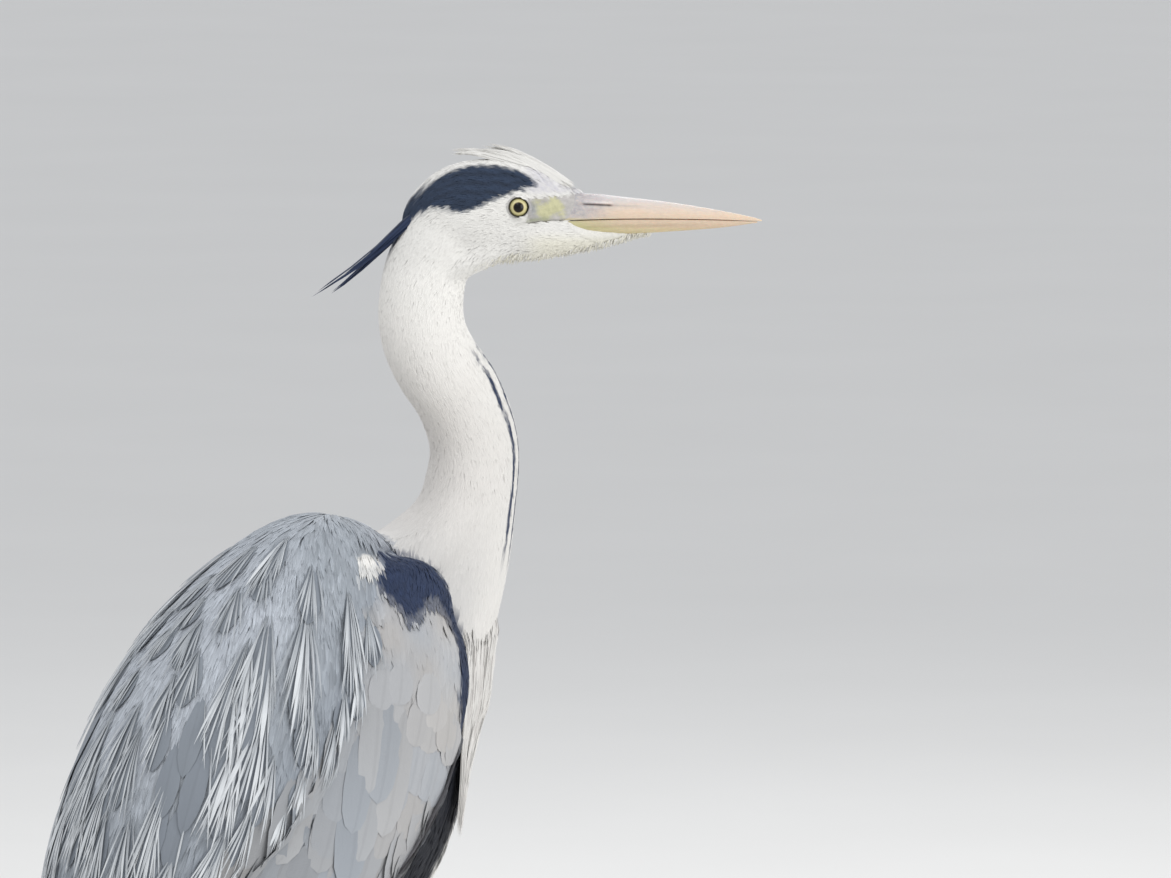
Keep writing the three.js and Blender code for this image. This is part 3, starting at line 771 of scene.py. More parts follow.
def samples(body, depth):
    """Points all over a body, with their shares of its length and their angles."""
    around = np.linspace(0, 2 * np.pi, 64, endpoint=False)
    t, a = np.meshgrid(np.linspace(0.01, 0.99, 90), around, indexing="ij")
    return body.surface(t, a, depth).reshape(-1, 3), np.c_[t.ravel(), a.ravel()]


def nearest_of(points, places):
    """The number of the place nearest to each point."""
    tree = KDTree(len(places))
    for i, p in enumerate(places):
        tree.insert(Vector(p), i)
    tree.balance()
    return np.array([tree.find(Vector(p))[1] for p in points])


def skin_place(points):
    """Which body each point lies on, and its share of the length and angle there, from the nearest sample."""
    places, numbers, where = [], [], []
    for number, (name, body) in enumerate(FLESH):
        p, ta = samples(body, COAT_DEPTH[name])
        if body is NAPE_FILL:
            neck, neck_ta = samples(NECK, COAT_DEPTH["neck"])
            ta = neck_ta[nearest_of(p, neck)]
        places.append(p)
        numbers.append(np.full(len(p), number))
        where.append(ta)
    found = nearest_of(points, np.vstack(places))
    where = np.vstack(where)[found]
    return np.concatenate(numbers)[found], where[:, 0], where[:, 1]


KIND = np.array([name for name, _ in FLESH])


def plumage(p, body, t, a):
    """The markings of skin and coat alike: the colour at points, given where each lies on its body."""
    kind = KIND[body]
    h = to_head(p)
    out = np.empty(p.shape)
    for name, paint_with in (
        ("trunk", lambda m: trunk_colour(p[m], t[m], a[m])),
        ("thigh", lambda m: mix(WHITE, NECK_GREY, 0.5 + 0.3 * waves(p[m], 6, 3))),
        ("cape", lambda m: cape_colour(p[m])),
        ("coverts", lambda m: wing_colour(p[m])),
        ("neck", lambda m: neck_colour(p[m], t[m], a[m])),
        ("skull", lambda m: head_colour(p[m], h[m])),
        ("chin", lambda m: head_colour(p[m], h[m])),
    ):
        m = kind == name
        if m.any():
            out[m] = paint_with(m)
    top = (kind == "neck") & (h[:, 2] > -50)
    if top.any():
        out[top] = mix(out[top], head_colour(p[top], h[top]), smooth(h[top, 2], -50, -30))
    return out


NEIGHBOURS = [(dx, dy, dz) for dx in (-1, 0, 1) for dy in (-1, 0, 1) for dz in (-1, 0, 1)]


def crowded(cells, key, place, gap):
    """Whether a place is nearer than gap to one that the cells around it already hold."""
    x, y, z = place
    for dx, dy, dz in NEIGHBOURS:
        for qx, qy, qz in cells.get((key[0] + dx, key[1] + dy, key[2] + dz), ()):
            if (x - qx) ** 2 + (y - qy) ** 2 + (z - qz) ** 2 < gap * gap:
                return True
    return False


class Skin:
    """The finished skin, and what the coat needs to know of it."""

    def __init__(self):
        mesh = rough_skin()

        def on_head(p):
            h = to_head(p)
            return (h[:, 0] > -64) & (h[:, 2] > -42)

        def at_eye(p):
            h = to_head(p)
            return (np.hypot(h[:, 0], h[:, 2]) < EYE_FINE) & (np.abs(h[:, 1]) > 8)

        refine(mesh, on_head, 2)
        refine(mesh, at_eye, 1)
        co = np.array([v.co for v in mesh.vertices])
        h = to_head(co)
        co[on_head(co)] = from_head(sculpt_head(h[on_head(co)]))
        set_points(mesh, co)
        mesh.polygons.foreach_set("use_smooth", np.ones(len(mesh.polygons), bool))
        mesh.name = "skin"
        self.points = co
        self.body, self.t, self.a = skin_place(co)
        flesh = ["head", "neck_lower", "neck_middle", "neck_upper", "trunk"]
        flesh += ["scapulars_left", "scapulars_right"]
        flesh += ["thigh_left", "thigh_right", "wing_left_coverts", "wing_right_coverts"]
        self.piece = make_object("skin", mesh, *flesh, slot="white_plumage", material=SKIN_MATERIAL)
        unwrap(self.piece)
        mesh = self.mesh = self.piece.data
        self.normals = normals_of(mesh)
        mesh.calc_loop_triangles()
        count = len(mesh.loop_triangles)
        tri, loops = np.empty(count * 3, np.int32), np.empty(count * 3, np.int32)
        mesh.loop_triangles.foreach_get("vertices", tri)
        mesh.loop_triangles.foreach_get("loops", loops)
        self.tri, loops = tri.reshape(-1, 3), loops.reshape(-1, 3)
        uv = np.empty(len(mesh.loops) * 2, np.float32)
        mesh.uv_layers["OFBake"].uv.foreach_get("vector", uv)
        self.uv = uv.reshape(-1, 2)[loops]
        corners = self.points[self.tri]
        across, down = corners[:, 1] - corners[:, 0], corners[:, 2] - corners[:, 0]
        self.area = np.linalg.norm(np.cross(across, down), axis=1) / 2
        self.tree = BVHTree.FromPolygons(self.points.tolist(), self.tri.tolist())
        self.middle = corners.mean(1)
        self.middle_h = to_head(self.middle)
        first = self.tri[:, 0]
        self.tri_kind, self.tri_t, self.tri_a = KIND[self.body[first]], self.t[first], self.a[first]
        tones = plumage(self.points, self.body, self.t, self.a)
        skin_bare = bare(h) * (np.abs(h[:, 1]) > 3) * on_head(co)
        paint(mesh, "Coat", mix(tones * 0.92, bare_colour(h), skin_bare))
        paint(mesh, "Bare", skin_bare)

    def roots(self, spacing, chosen, seed):
        """Scattered places on the chosen triangles, none nearer to another than the spacing there."""
        rng = np.random.default_rng(seed)
        index = np.nonzero(chosen)[0]
        gap = np.broadcast_to(spacing, len(self.tri))[index]
        weight = self.area[index] / gap**2
        count = int(weight.sum() * 3.2)
        pick = rng.choice(len(index), count, p=weight / weight.sum())
        r1, r2 = np.sqrt(rng.random(count)), rng.random(count)
        share = np.stack([1 - r1, r1 * (1 - r2), r1 * r2], 1)
        tri = index[pick]
        place = (self.points[self.tri[tri]] * share[:, :, None]).sum(1)
        gap = gap[pick]
        keys = np.floor(place / gap.max()).astype(int)
        cells, kept = {}, []
        for i, (key, p, g) in enumerate(zip(map(tuple, keys.tolist()), place.tolist(), gap.tolist())):
            if not crowded(cells, key, p, g):
                cells.setdefault(key, []).append(p)
                kept.append(i)
        return {**self.at(tri[kept], share[kept]), "tri": tri[kept]}

    def at(self, tri, share):
        """What the skin is like at given shares of the corners of triangles."""

        def blend(values):
            return (values[self.tri[tri]] * share[:, :, None]).sum(1)

        first = self.tri[tri, 0]
        return {
            "place": blend(self.points),
            "normal": unit(blend(self.normals)),
            "uv": (self.uv[tri] * share[:, :, None]).sum(1),
            "body": self.body[first],
            "t": self.t[first],
            "a": self.a[first],
        }

    def nearest(self, points):
        """The nearest places on the skin: points, smooth normals, triangles and shares of their corners."""
        found = [self.tree.find_nearest(Vector(p)) for p in points]
        place = np.array([f[0] for f in found])
        tri = np.array([f[2] for f in found])
        corners = self.points[self.tri[tri]]
        share = 1 / (np.linalg.norm(corners - place[:, None], axis=2) + 0.2)
        share /= share.sum(1, keepdims=True)
        normal = unit((self.normals[self.tri[tri]] * share[:, :, None]).sum(1))
        return place, normal, tri, share

    def dress(self, points):
        """Roots at the skin's nearest places to given points."""
        place, _, tri, share = self.nearest(points)
        found = self.at(tri, share)
        found["place"] = place
        return found

    def follow(self, roots, direction, length, shares):
        """Lines that run over the skin from each root, of the given lengths, at the given shares of them."""
        place, normal = roots["place"], roots["normal"]
        along = unit(direction - normal * (direction * normal).sum(1, keepdims=True))
        centres, ups, spots = [place], [normal], [roots]
        for a, b in zip(shares, shares[1:]):
            step = (length * (b - a))[:, None]
            aim = place + along * step
            near, normal, tri, share = self.nearest(aim)
            spots.append(self.at(tri, share))
            pull = near - aim
            far = np.linalg.norm(pull, axis=1, keepdims=True)
            place = aim + pull * np.minimum(1, (0.4 * step + 0.5) / np.maximum(far, 1e-6))
            along = unit(along - normal * (along * normal).sum(1, keepdims=True))
            centres.append(place)
            ups.append(normal)
        return np.stack(centres, 1), np.stack(ups, 1), spots


# ---------------------------------------------------------------- feathers as closed solids
PATCH = 0.003  # how much of the OFBake map each feather takes
SHOULDER = {"tuft": 0.3, "vane": 0.16}  # how far a feather's edges turn their shading outward


def blades(name, form, centres, ups, wide, thick, tones, roots_uv, material, slot, *replaced, kind="tuft",
           shaft=0.5, seed=0):
    """One mesh of many feathers. Each is a closed solid of triangular section: left edge, ridge and right edge.

    centres, ups and tones are (feathers, rows, 3), the first row a feather's base point and the last its tip.
    form gives the share of a feather's full width wide at each row. thick is the ridge's height, for each
    feather or for each row of it. shaft is how far across the ridge lies.
    """
    widths = np.outer(wide, [w for _, w in form])
    ridge = thick if thick.ndim == 2 else np.outer(thick, np.ones(len(form)))
    rng = np.random.default_rng(seed + 1000)
    n, rows, _ = centres.shape
    inner = rows - 2
    along = unit(np.gradient(centres, axis=1))
    side = unit(np.cross(ups, along))
    up = np.cross(along, side)
    half = (side * (widths / 2)[..., None])[:, 1:-1]
    mid = centres[:, 1:-1]
    lift = (up * ridge[..., None])[:, 1:-1]
    shaft = np.broadcast_to(shaft, n)[:, None, None]
    left, right = mid + half, mid - half
    top = mid + half * (1 - 2 * shaft) + lift
    sections = np.stack([left, top, right], 2)
    points = np.concatenate([centres[:, :1], sections.reshape(n, 3 * inner, 3), centres[:, -1:]], 1)
    lean = SHOULDER[kind]
    normals = np.stack([up + side * lean, up, up - side * lean], 2)[:, 1:-1].reshape(n, 3 * inner, 3)
    normals = unit(np.concatenate([up[:, :1], normals, up[:, -1:]], 1))
    base, tip = 0, 3 * inner + 1
    faces, under = [], []

    def face(a, b, c, below=False):
        faces.append((a, b, c))
        under.append(below)

    rings = [(1 + 3 * k, 2 + 3 * k, 3 + 3 * k) for k in range(inner)]
    l0, m0, r0 = rings[0]
    face(base, m0, l0)
    face(base, r0, m0)
    face(base, l0, r0, True)
    for (la, ma, ra), (lb, mb, rb) in zip(rings, rings[1:]):
        for corners in ((la, ma, mb), (la, mb, lb), (ma, ra, rb), (ma, rb, mb)):
            face(*corners)
        for corners in ((ra, la, lb), (ra, lb, rb)):
            face(*corners, below=True)
    l1, m1, r1 = rings[-1]
    face(l1, m1, tip)
    face(m1, r1, tip)
    face(r1, l1, tip, True)
    faces, under = np.array(faces), np.array(under)
    per = points.shape[1]
    corners = (faces[None] + (np.arange(n) * per)[:, None, None]).reshape(-1)
    mesh = bpy.data.meshes.new(name)
    mesh.vertices.add(n * per)
    mesh.vertices.foreach_set("co", metres(points).ravel().astype(np.float32))
    mesh.loops.add(len(corners))
    mesh.loops.foreach_set("vertex_index", corners.astype(np.int32))
    mesh.polygons.add(n * len(faces))
    mesh.polygons.foreach_set("loop_start", np.arange(n * len(faces), dtype=np.int32) * 3)
    mesh.polygons.foreach_set("use_smooth", np.ones(n * len(faces), bool))
    mesh.update(calc_edges=True)
    corner_normals = normals.reshape(-1, 3)[corners].reshape(n, len(faces), 3, 3)
    corner_normals = np.where(under[None, :, None, None], -corner_normals, corner_normals)
    # across a feather 0 to 1 from left to right, along it 0 to 1 from root to tip
    run = np.concatenate([[0], np.repeat(np.linspace(0, 1, rows)[1:-1], 3), [1]])
    across = np.concatenate([[0.5], np.tile([0.0, 0.5, 1.0], inner), [0.5]])
    steps = np.linalg.norm(np.diff(centres, axis=1), axis=2)
    reach = np.concatenate([np.zeros((n, 1)), np.cumsum(steps, 1)], 1)
    reach = np.concatenate([reach[:, :1], np.repeat(reach[:, 1:-1], 3, axis=1), reach[:, -1:]], 1)
    own = rng.uniform(0, 40, (n, 1))
    vane = np.stack([np.broadcast_to(across, (n, per)), reach / 10 + own], -1)
    patch = roots_uv[:, None] + PATCH * (np.stack([across, run], -1)[None] - 0.5)
    for layer, values in (("OFBake", np.clip(patch, 0, 1)), ("Vane", vane)):
        uv = mesh.uv_layers.new(name=layer, do_init=False)
        uv.uv.foreach_set("vector", values.reshape(-1, 2)[corners].astype(np.float32).ravel())
    mesh.uv_layers.active = mesh.uv_layers["OFBake"]
    tones = np.concatenate([tones[:, :1], np.repeat(tones[:, 1:-1], 3, axis=1), tones[:, -1:]], 1)
    paint(mesh, "Coat", tones.reshape(-1, 3))
    paint(mesh, "Along", np.tile(run, n))
    mesh.normals_split_custom_set(corner_normals.reshape(-1, 3))
    return make_object(name, mesh, *replaced, slot=slot, material=material)


def root_uv(points):
    """Where the OFBake map of the skin is nearest to points."""
    return skin.dress(points)["uv"]


def lifted(centres, ups, shares, root, tip, power=0.8):
    """Centres raised over the skin: by root at a feather's base and by tip at its end, in millimetres."""
    s = np.asarray(shares) ** power
    root, tip = (np.broadcast_to(x, len(centres))[:, None] for x in (root, tip))
    return centres + ups * (root + (tip - root) * s)[..., None]


def shares_of(form):
    """Where the rows of a form lie along a feather."""
    return np.array([s for s, _ in form])


# forms of feathers: (share of the length, share of the full width)
TUFT = [(0, 0), (0.35, 1), (0.72, 0.75), (1, 0)]
PLUMELET = [(0, 0), (0.25, 0.9), (0.5, 1), (0.78, 0.6), (1, 0)]
PLUME_FORM = [(0, 0), (0.2, 0.5), (0.45, 0.85), (0.62, 1), (0.8, 0.72), (0.93, 0.32), (1, 0)]
LANCET = [(0, 0), (0.16, 0.7), (0.34, 1), (0.55, 0.95), (0.75, 0.62), (0.9, 0.28), (1, 0)]
ROUND_WEB = [(0, 0), (0.2, 0.5), (0.45, 0.9), (0.62, 1), (0.8, 0.8), (0.93, 0.42), (1, 0)]
ROUND = [(0, 0), (0.18, 0.55), (0.4, 0.95), (0.65, 1), (0.84, 0.86), (0.95, 0.52), (1, 0)]
QUILL = [(0, 0), (0.1, 0.45), (0.3, 0.85), (0.55, 1), (0.75, 0.96), (0.9, 0.7), (0.97, 0.36), (1, 0)]


def hang(way, t):
    """How the wing's feathers lie at share t: straight down at the wrist, along the wing further back."""
    return way + np.array([0.1, 0, -1.2]) * np.asarray(smooth(0.8 - t, 0, 0.5))[..., None]


class Lie:
    """Which way the coat lies and how long and wide it is, blended between named places."""

    def __init__(self):
        rows = []

        def add(place, way, long, wide):
            rows.append([*place, *unit(np.asarray(way, float)), long, wide])

        for place, way, long, wide in HEAD_LIE:
            for side in (RIGHT, LEFT):
                mirror = np.array([1, side, 1])
                add(from_head(place * mirror), HEAD_AXES @ (way * mirror), long, wide)
        for t in np.linspace(0.04, 0.96, 16):
            size = 1 - t
            add(NECK.path.at(t), -NECK.path.along(t), 8.5 + 8 * size**1.5, 1.6 + 0.6 * size)
        for t in (0.06, 0.2, 0.35, 0.5, 0.65, 0.8, 0.95):
            for a in np.radians((-50, -15, 20, 55, 90, 125, 160, 195, 230)):
                p = CAPE.surface(t, a)
                midline = math.exp(-((p[1] / 28) ** 2)) * smooth(p[0], -40, 0)
                add(p, unit(p - APEX) + np.array([-1.3, 0, 0]) * midline, 20 + 6 * t, 1.45 + 0.3 * t)
        for body, long, wide in ((TRUNK, 30, 4.6), (THIGHS[RIGHT], 18, 3), (THIGHS[LEFT], 18, 3)):
            for t in (0.1, 0.3, 0.5, 0.7, 0.9):
                for a in np.radians((-160, -125, -90, -55, -20)) if body is TRUNK else (0, 2, 4):
                    add(body.surface(t, a), body.lie * body.path.along(t), long, wide)
        for side in (RIGHT, LEFT):
            wing = WINGS[side]["coverts"]
            for t in (0.02, 0.15, 0.3, 0.5, 0.7, 0.9):
                for a in np.radians((-75, -30, 15, 60)):
                    add(wing.surface(t, a), hang(wing.path.along(t), t), 22, 10)
        self.rows = np.array(rows)

    def read(self, points):
        """(direction, length, width) at each point."""
        out = np.empty((len(points), 5))
        for start in range(0, len(points), 4000):
            p = points[start : start + 4000]
            apart = ((p[:, None] - self.rows[None, :, :3]) ** 2).sum(2)
            weight = 1 / (apart + 30) ** 2
            out[start : start + 4000] = weight @ self.rows[:, 3:] / weight.sum(1, keepdims=True)
        return unit(out[:, :3]), out[:, 3], out[:, 4]


APEX = np.array([12, 0, 676])  # the mantle's feathers spread from here
HEAD_LIE = [
    # place in the head's frame, which way, length, width
    ((40, 1, 9), (-1, 0, 0.5), 3.5, 0.8),
    ((24, 4, 18), (-1, 0, 0.55), 5, 0.9),
    ((8, 4, 26), (-1, 0, 0.25), 7, 1.0),
    ((-18, 5, 31), (-1, 0, 0.0), 8, 1.1),
    ((-45, 6, 26), (-1, 0, -0.45), 9, 1.2),
    ((-64, 5, 8), (-0.75, 0, -0.9), 10, 1.3),
    ((10, 13, 10), (-1, 0.1, 0.35), 4.5, 0.8),
    ((-12, 17, 6), (-1, 0.1, 0.1), 5.5, 0.95),
    ((-30, 18, 4), (-1, 0, -0.2), 7, 1.1),
    ((-45, 15, 6), (-1, 0, -0.4), 8, 1.2),
    ((-8, 16, -12), (-1, 0.05, -0.1), 4.5, 0.9),
    ((10, 14, -14), (-1, 0.1, 0), 4, 0.85),
    ((-30, 17, -16), (-1, 0, -0.4), 6.5, 1.1),
    ((-50, 12, -18), (-0.8, 0, -0.8), 8, 1.2),
    ((80, 1, -20), (-1, 0, -0.12), 5, 0.8),
    ((60, 4, -22), (-1, 0, -0.15), 6, 0.85),
    ((38, 7, -24), (-1, 0, -0.2), 6, 0.95),
    ((18, 9, -30), (-1, 0, -0.3), 7, 1.0),
    ((-4, 10, -35), (-0.95, 0, -0.5), 7, 1.1),
    ((-26, 10, -40), (-0.6, 0, -0.9), 8, 1.2),
]


# ---------------------------------------------------------------- materials
class Finish:
    """A material, with short names for the shader nodes that it is made of."""

    def __init__(self, name):
        self.material = bpy.data.materials.new(name)
        self.material.use_nodes = True
        self.tree = self.material.node_tree
        self.shader = self.tree.nodes["Principled BSDF"]

    def put(self, value, socket):
        """Links another node's output to a socket, or sets the socket to a number or a colour."""
        if isinstance(value, bpy.types.NodeSocket):
            self.tree.links.new(value, socket)
        else:
            socket.default_value = value

    def add_node(self, kind, inputs, **settings):
        made = self.tree.nodes.new(kind)
        for key, value in settings.items():
            setattr(made, key, value)
        for key, value in inputs.items():
            self.put(value, made.inputs[key])
        return made.outputs

    def math(self, operation, *values):
        return self.add_node("ShaderNodeMath", dict(enumerate(values)), operation=operation)[0]

    def plus(self, a, b):
        return self.math("ADD", a, b)

    def minus(self, a, b):
        return self.math("SUBTRACT", a, b)

    def times(self, a, b):
        return self.math("MULTIPLY", a, b)

    def attribute(self, name, output):
        return self.add_node("ShaderNodeAttribute", {}, attribute_name=name)[output]

    def parts(self, vector):
        """A vector's X, Y and Z."""
        return self.add_node("ShaderNodeSeparateXYZ", {0: vector}).values()

    def joined(self, x, y):
        return self.add_node("ShaderNodeCombineXYZ", {0: x, 1: y})[0]

    def noise(self, vector, scale, detail, roughness=0.5):
        inputs = {"Vector": vector, "Scale": scale, "Detail": detail, "Roughness": roughness}
        return self.add_node("ShaderNodeTexNoise", inputs)[0]

    def ranged(self, value, low, high, start=0.0, end=1.0):
        """start where the value is low, end where it is high, and even between them."""
        inputs = {"Value": value, "From Min": low, "From Max": high, "To Min": start, "To Max": end}
        return self.add_node("ShaderNodeMapRange", inputs)[0]

    def between(self, share, a, b):
        """A number between a and b."""
        return self.add_node("ShaderNodeMix", {0: share, 2: a, 3: b}, data_type="FLOAT")[0]

    def blend(self, share, a, b):
        """A colour between a and b."""
        return self.add_node("ShaderNodeMix", {"Factor": share, "A": a, "B": b}, data_type="RGBA")[2]

    def scaled(self, tone, amount):
        """A colour times a number."""
        return self.add_node("ShaderNodeVectorMath", {0: tone, "Scale": amount}, operation="SCALE")[0]

    def ramp(self, value, *stops):
        """A colour by value, through (place, colour) stops."""
        output = self.add_node("ShaderNodeValToRGB", {0: value})[0]
        elements = output.node.color_ramp.elements
        while len(elements) < len(stops):
            elements.new(0.5)
        for element, (place, tone) in zip(elements, stops):
            element.position = place
            element.color = (*tone, 1)
        return output

    def done(self, base, roughness, height=None, strength=0.3, distance=0.0003, **uniform):
        """Sets up the shader and gives the material."""
        sockets = self.shader.inputs
        self.put(base, sockets["Base Color"])
        self.put(roughness, sockets["Roughness"])
        if height is not None:
            inputs = {"Height": height, "Strength": strength, "Distance": distance}
            self.put(self.add_node("ShaderNodeBump", inputs)[0], sockets["Normal"])
        for key, value in uniform.items():
            sockets[key.replace("_", " ")].default_value = value
        return self.material


def feather_material(name, barbs, shaft, edge, streak, pitch=0.09, sheen=0.08, fine=1.0):
    """Barbs slant from a shaft to the edges, under lengthwise hairs.

    pitch is the barbs' spacing in centimetres and fine how fine the hairs are; barbs, shaft, edge and streak are
    depths of tone.
    """
    f = Finish(name)
    vane = f.add_node("ShaderNodeUVMap", {}, uv_map="Vane")[0]
    u, v, _ = f.parts(vane)
    off = f.times(f.math("ABSOLUTE", f.minus(u, 0.5)), 2.0)
    wobble = f.noise(vane, 3.0, 2.0)
    phase = f.plus(f.minus(v, f.times(off, 0.55)), f.times(wobble, 0.25))
    wave = f.math("SINE", f.times(phase, 2 * math.pi / pitch))
    lengthwise = f.joined(f.times(u, 7.0 * fine), f.times(v, 0.7))
    hairs = f.minus(f.noise(lengthwise, 1.6, 4.0, 0.65), 0.5)
    on_shaft = f.ranged(off, 0.05, 0.16, 1.0, 0.0)
    rim = f.math("POWER", off, 4.0)
    tone = f.plus(1.0, f.times(wave, barbs * 0.5))
    tone = f.plus(tone, f.times(hairs, streak))
    tone = f.minus(tone, f.times(on_shaft, shaft))
    tone = f.plus(tone, f.times(rim, edge))
    base = f.scaled(f.attribute("Coat", "Color"), tone)
    height = f.plus(f.times(wave, 0.25), f.times(hairs, 1.2))
    height = f.plus(height, f.times(on_shaft, 0.9))
    rough = f.plus(0.62, f.times(hairs, 0.3))
    uniform = {"Sheen_Weight": sheen, "Sheen_Roughness": 0.45, "Specular_IOR_Level": 0.3}
    return f.done(base, rough, height, 0.35, 0.00025, **uniform)


def skin_material():
    """Down under the coat, and bare pored skin with fine folds on the lores."""
    f = Finish("skin_finish")
    place = f.attribute("Local", "Vector")
    down = f.noise(place, 0.9, 5.0)
    pored = {"Vector": place, "Scale": 1.5}
    pores = f.add_node("ShaderNodeTexVoronoi", pored, feature="DISTANCE_TO_EDGE")[0]
    folds = f.noise(place, 0.5, 6.0, 0.7)
    share = f.attribute("Bare", "Fac")
    tone = f.plus(0.8, f.times(down, 0.4))
    mottle = f.plus(0.72, f.times(folds, 0.5))
    base = f.scaled(f.attribute("Coat", "Color"), f.between(share, tone, mottle))
    height = f.plus(f.times(f.math("MINIMUM", pores, 0.18), 1.6), f.times(folds, 0.9))
    return f.done(base, f.between(share, 0.85, 0.42), height, 0.4, 0.0004, Specular_IOR_Level=0.4)


# the bill's colours, by level from its lower edge to its ridge
BILL_SIDES = (
    (0.0, colour(200, 186, 144)),
    (0.22, colour(202, 180, 155)),
    (0.5, colour(209, 187, 165)),
    (0.68, colour(201, 189, 178)),
    (0.85, colour(196, 192, 190)),
)
BILL_BASE = (
    (0.0, colour(190, 184, 130)),
    (0.26, colour(192, 182, 142)),
    (0.34, colour(184, 172, 166)),
    (0.6, colour(174, 170, 172)),
)
BILL_ROOT = ((0.35, colour(158, 153, 156)), (0.5, LORES_GREY), (0.65, colour(190, 178, 168)))


def bill_material():
    """Horn with fine lengthwise scratches: a pale grey ridge, pinkish sides and a yellow base."""
    f = Finish("bill_finish")
    local = f.attribute("Local", "Vector")
    x, _, z = f.parts(local)
    stretched = f.add_node("ShaderNodeMapping", {0: local, "Scale": (0.05, 0.6, 0.6)})[0]
    grain = f.noise(stretched, 3.0, 6.0, 0.7)
    cloud = f.noise(stretched, 0.8, 2.0)
    flakes = f.noise(local, 0.35, 5.0, 0.7)
    high = f.plus(z, f.times(f.minus(cloud, 0.5), 5.0))
    taper = f.times(f.minus(float(BILL_TIP), x), -0.07)
    level = f.math("DIVIDE", f.plus(f.plus(high, 18.0), f.times(taper, 0.35)), 26.0)
    at_base = f.ranged(f.plus(x, f.times(cloud, 14.0)), 44.0, 74.0, 1.0, 0.0)
    horn = f.blend(f.times(at_base, 0.85), f.ramp(level, *BILL_SIDES), f.ramp(level, *BILL_BASE))
    at_root = f.ranged(f.plus(x, f.times(flakes, 16.0)), 46.0, 66.0, 1.0, 0.0)
    at_root = f.times(at_root, f.ranged(level, 0.3, 0.4))
    horn = f.blend(f.times(at_root, 0.95), horn, f.ramp(flakes, *BILL_ROOT))
    tone = f.plus(0.79, f.times(grain, 0.44))
    tone = f.plus(tone, f.times(f.minus(flakes, 0.5), 0.24))
    # painted shade in the nostril slit, its groove and the lower bill's furrow, and a painted highlight on the
    # flap above the slit
    tone = f.minus(tone, f.times(f.attribute("Plates_shade_and_highlight", "Fac"), 0.4))
    height = f.plus(grain, f.times(flakes, 0.5))
    rough = f.plus(0.4, f.times(grain, 0.25))
    uniform = {"Specular_IOR_Level": 0.5, "Subsurface_Weight": 0.08}
    return f.done(f.scaled(horn, tone), rough, height, 0.3, 0.0004, **uniform)


# the eye's colours, by distance from its middle as a share of its radius
IRIS = (
    (0.0, colour(8, 6, 5)),
    (0.36, colour(14, 8, 5)),
    (0.4, colour(92, 76, 46)),
    (0.47, colour(206, 196, 146)),
    (0.61, colour(190, 181, 132)),
    (0.68, colour(140, 132, 90)),
    (0.72, colour(34, 31, 24)),
)
EYE = {"radius": 8, "depth": 6, "out": 12.2, "cornea": 0.9}


def eye_material():
    """A dark pupil, a yellow iris with rays and a dark rim, under a wet gloss."""
    f = Finish("eye_finish")
    x, _, z = f.parts(f.attribute("Local", "Vector"))
    reach = f.add_node("ShaderNodeVectorMath", {0: f.joined(x, z)}, operation="LENGTH")["Value"]
    angle = f.math("ARCTAN2", z, x)
    rays = f.noise(f.joined(f.times(angle, 9.0), f.times(reach, 0.5)), 1.5, 3.0)
    iris = f.ramp(f.math("DIVIDE", reach, float(EYE["radius"])), *IRIS)
    base = f.scaled(iris, f.plus(0.75, f.times(rays, 0.5)))
    rough = f.plus(0.04, f.times(rays, 0.04))
    uniform = {"Coat_Weight": 0.25, "Coat_Roughness": 0.02, "Specular_IOR_Level": 0.15}
    return f.done(base, rough, rays, 0.03, 0.0001, **uniform)


def leg_material():
    """Scutes: brown-grey plates with paler edges, yellower above."""
    f = Finish("leg_finish")
    local = f.attribute("Local", "Vector")
    cloud = f.noise(local, 0.12, 5.0, 0.65)
    fine = f.noise(local, 1.4, 4.0)
    stops = (0.3, colour(104, 96, 70)), (0.5, colour(138, 128, 92)), (0.68, colour(160, 150, 104))
    base = f.ramp(cloud, *stops)
    tone = f.plus(0.55, f.times(f.attribute("Plates_shade_and_highlight", "Fac"), 0.5))
    tone = f.plus(tone, f.times(f.minus(fine, 0.5), 0.35))
    rough = f.plus(0.42, f.times(fine, 0.25))
    return f.done(f.scaled(base, tone), rough, fine, 0.25, 0.0002, Specular_IOR_Level=0.45)


def claw_material():
    """Dark streaky horn."""
    f = Finish("claw_finish")
    grain = f.noise(f.attribute("Local", "Vector"), 0.7, 5.0)
    base = f.ramp(grain, (0.35, colour(44, 40, 36)), (0.6, colour(86, 78, 68)))
    rough = f.plus(0.28, f.times(grain, 0.2))
    return f.done(base, rough, grain, 0.2, 0.0002, Specular_IOR_Level=0.5)


SKIN_MATERIAL = skin_material()
SOFT = feather_material("down_feather", barbs=0.0, shaft=0.0, edge=0.03, streak=0.14, fine=0.6)
FINE = feather_material("mantle_feather", barbs=0.06, shaft=0.12, edge=0.2, streak=0.2)
SILK = feather_material("plume_feather", pitch=0.12, barbs=0.06, shaft=0.08, edge=-0.1, streak=0.2, sheen=0.1)
VANE = feather_material("vane_feather", pitch=0.1, barbs=0.05, shaft=0.06, edge=0.05, streak=0.14, fine=2.5)

# ---------------------------------------------------------------- the skin and its small feathers
skin = Skin()
paint(skin.mesh, "Local", to_head(skin.points))
lie = Lie()
_, long_all, wide_all = lie.read(skin.middle)
IS = {kind: skin.tri_kind == kind for kind in set(KIND)}
HEAD_H = skin.middle_h
OVER_HEM = above_hem(skin.middle)


def turned(way, normal, angle):
    """Directions turned about the skin's normals."""
    across = np.cross(normal, way)
    return way * np.cos(angle)[:, None] + across * np.sin(angle)[:, None]


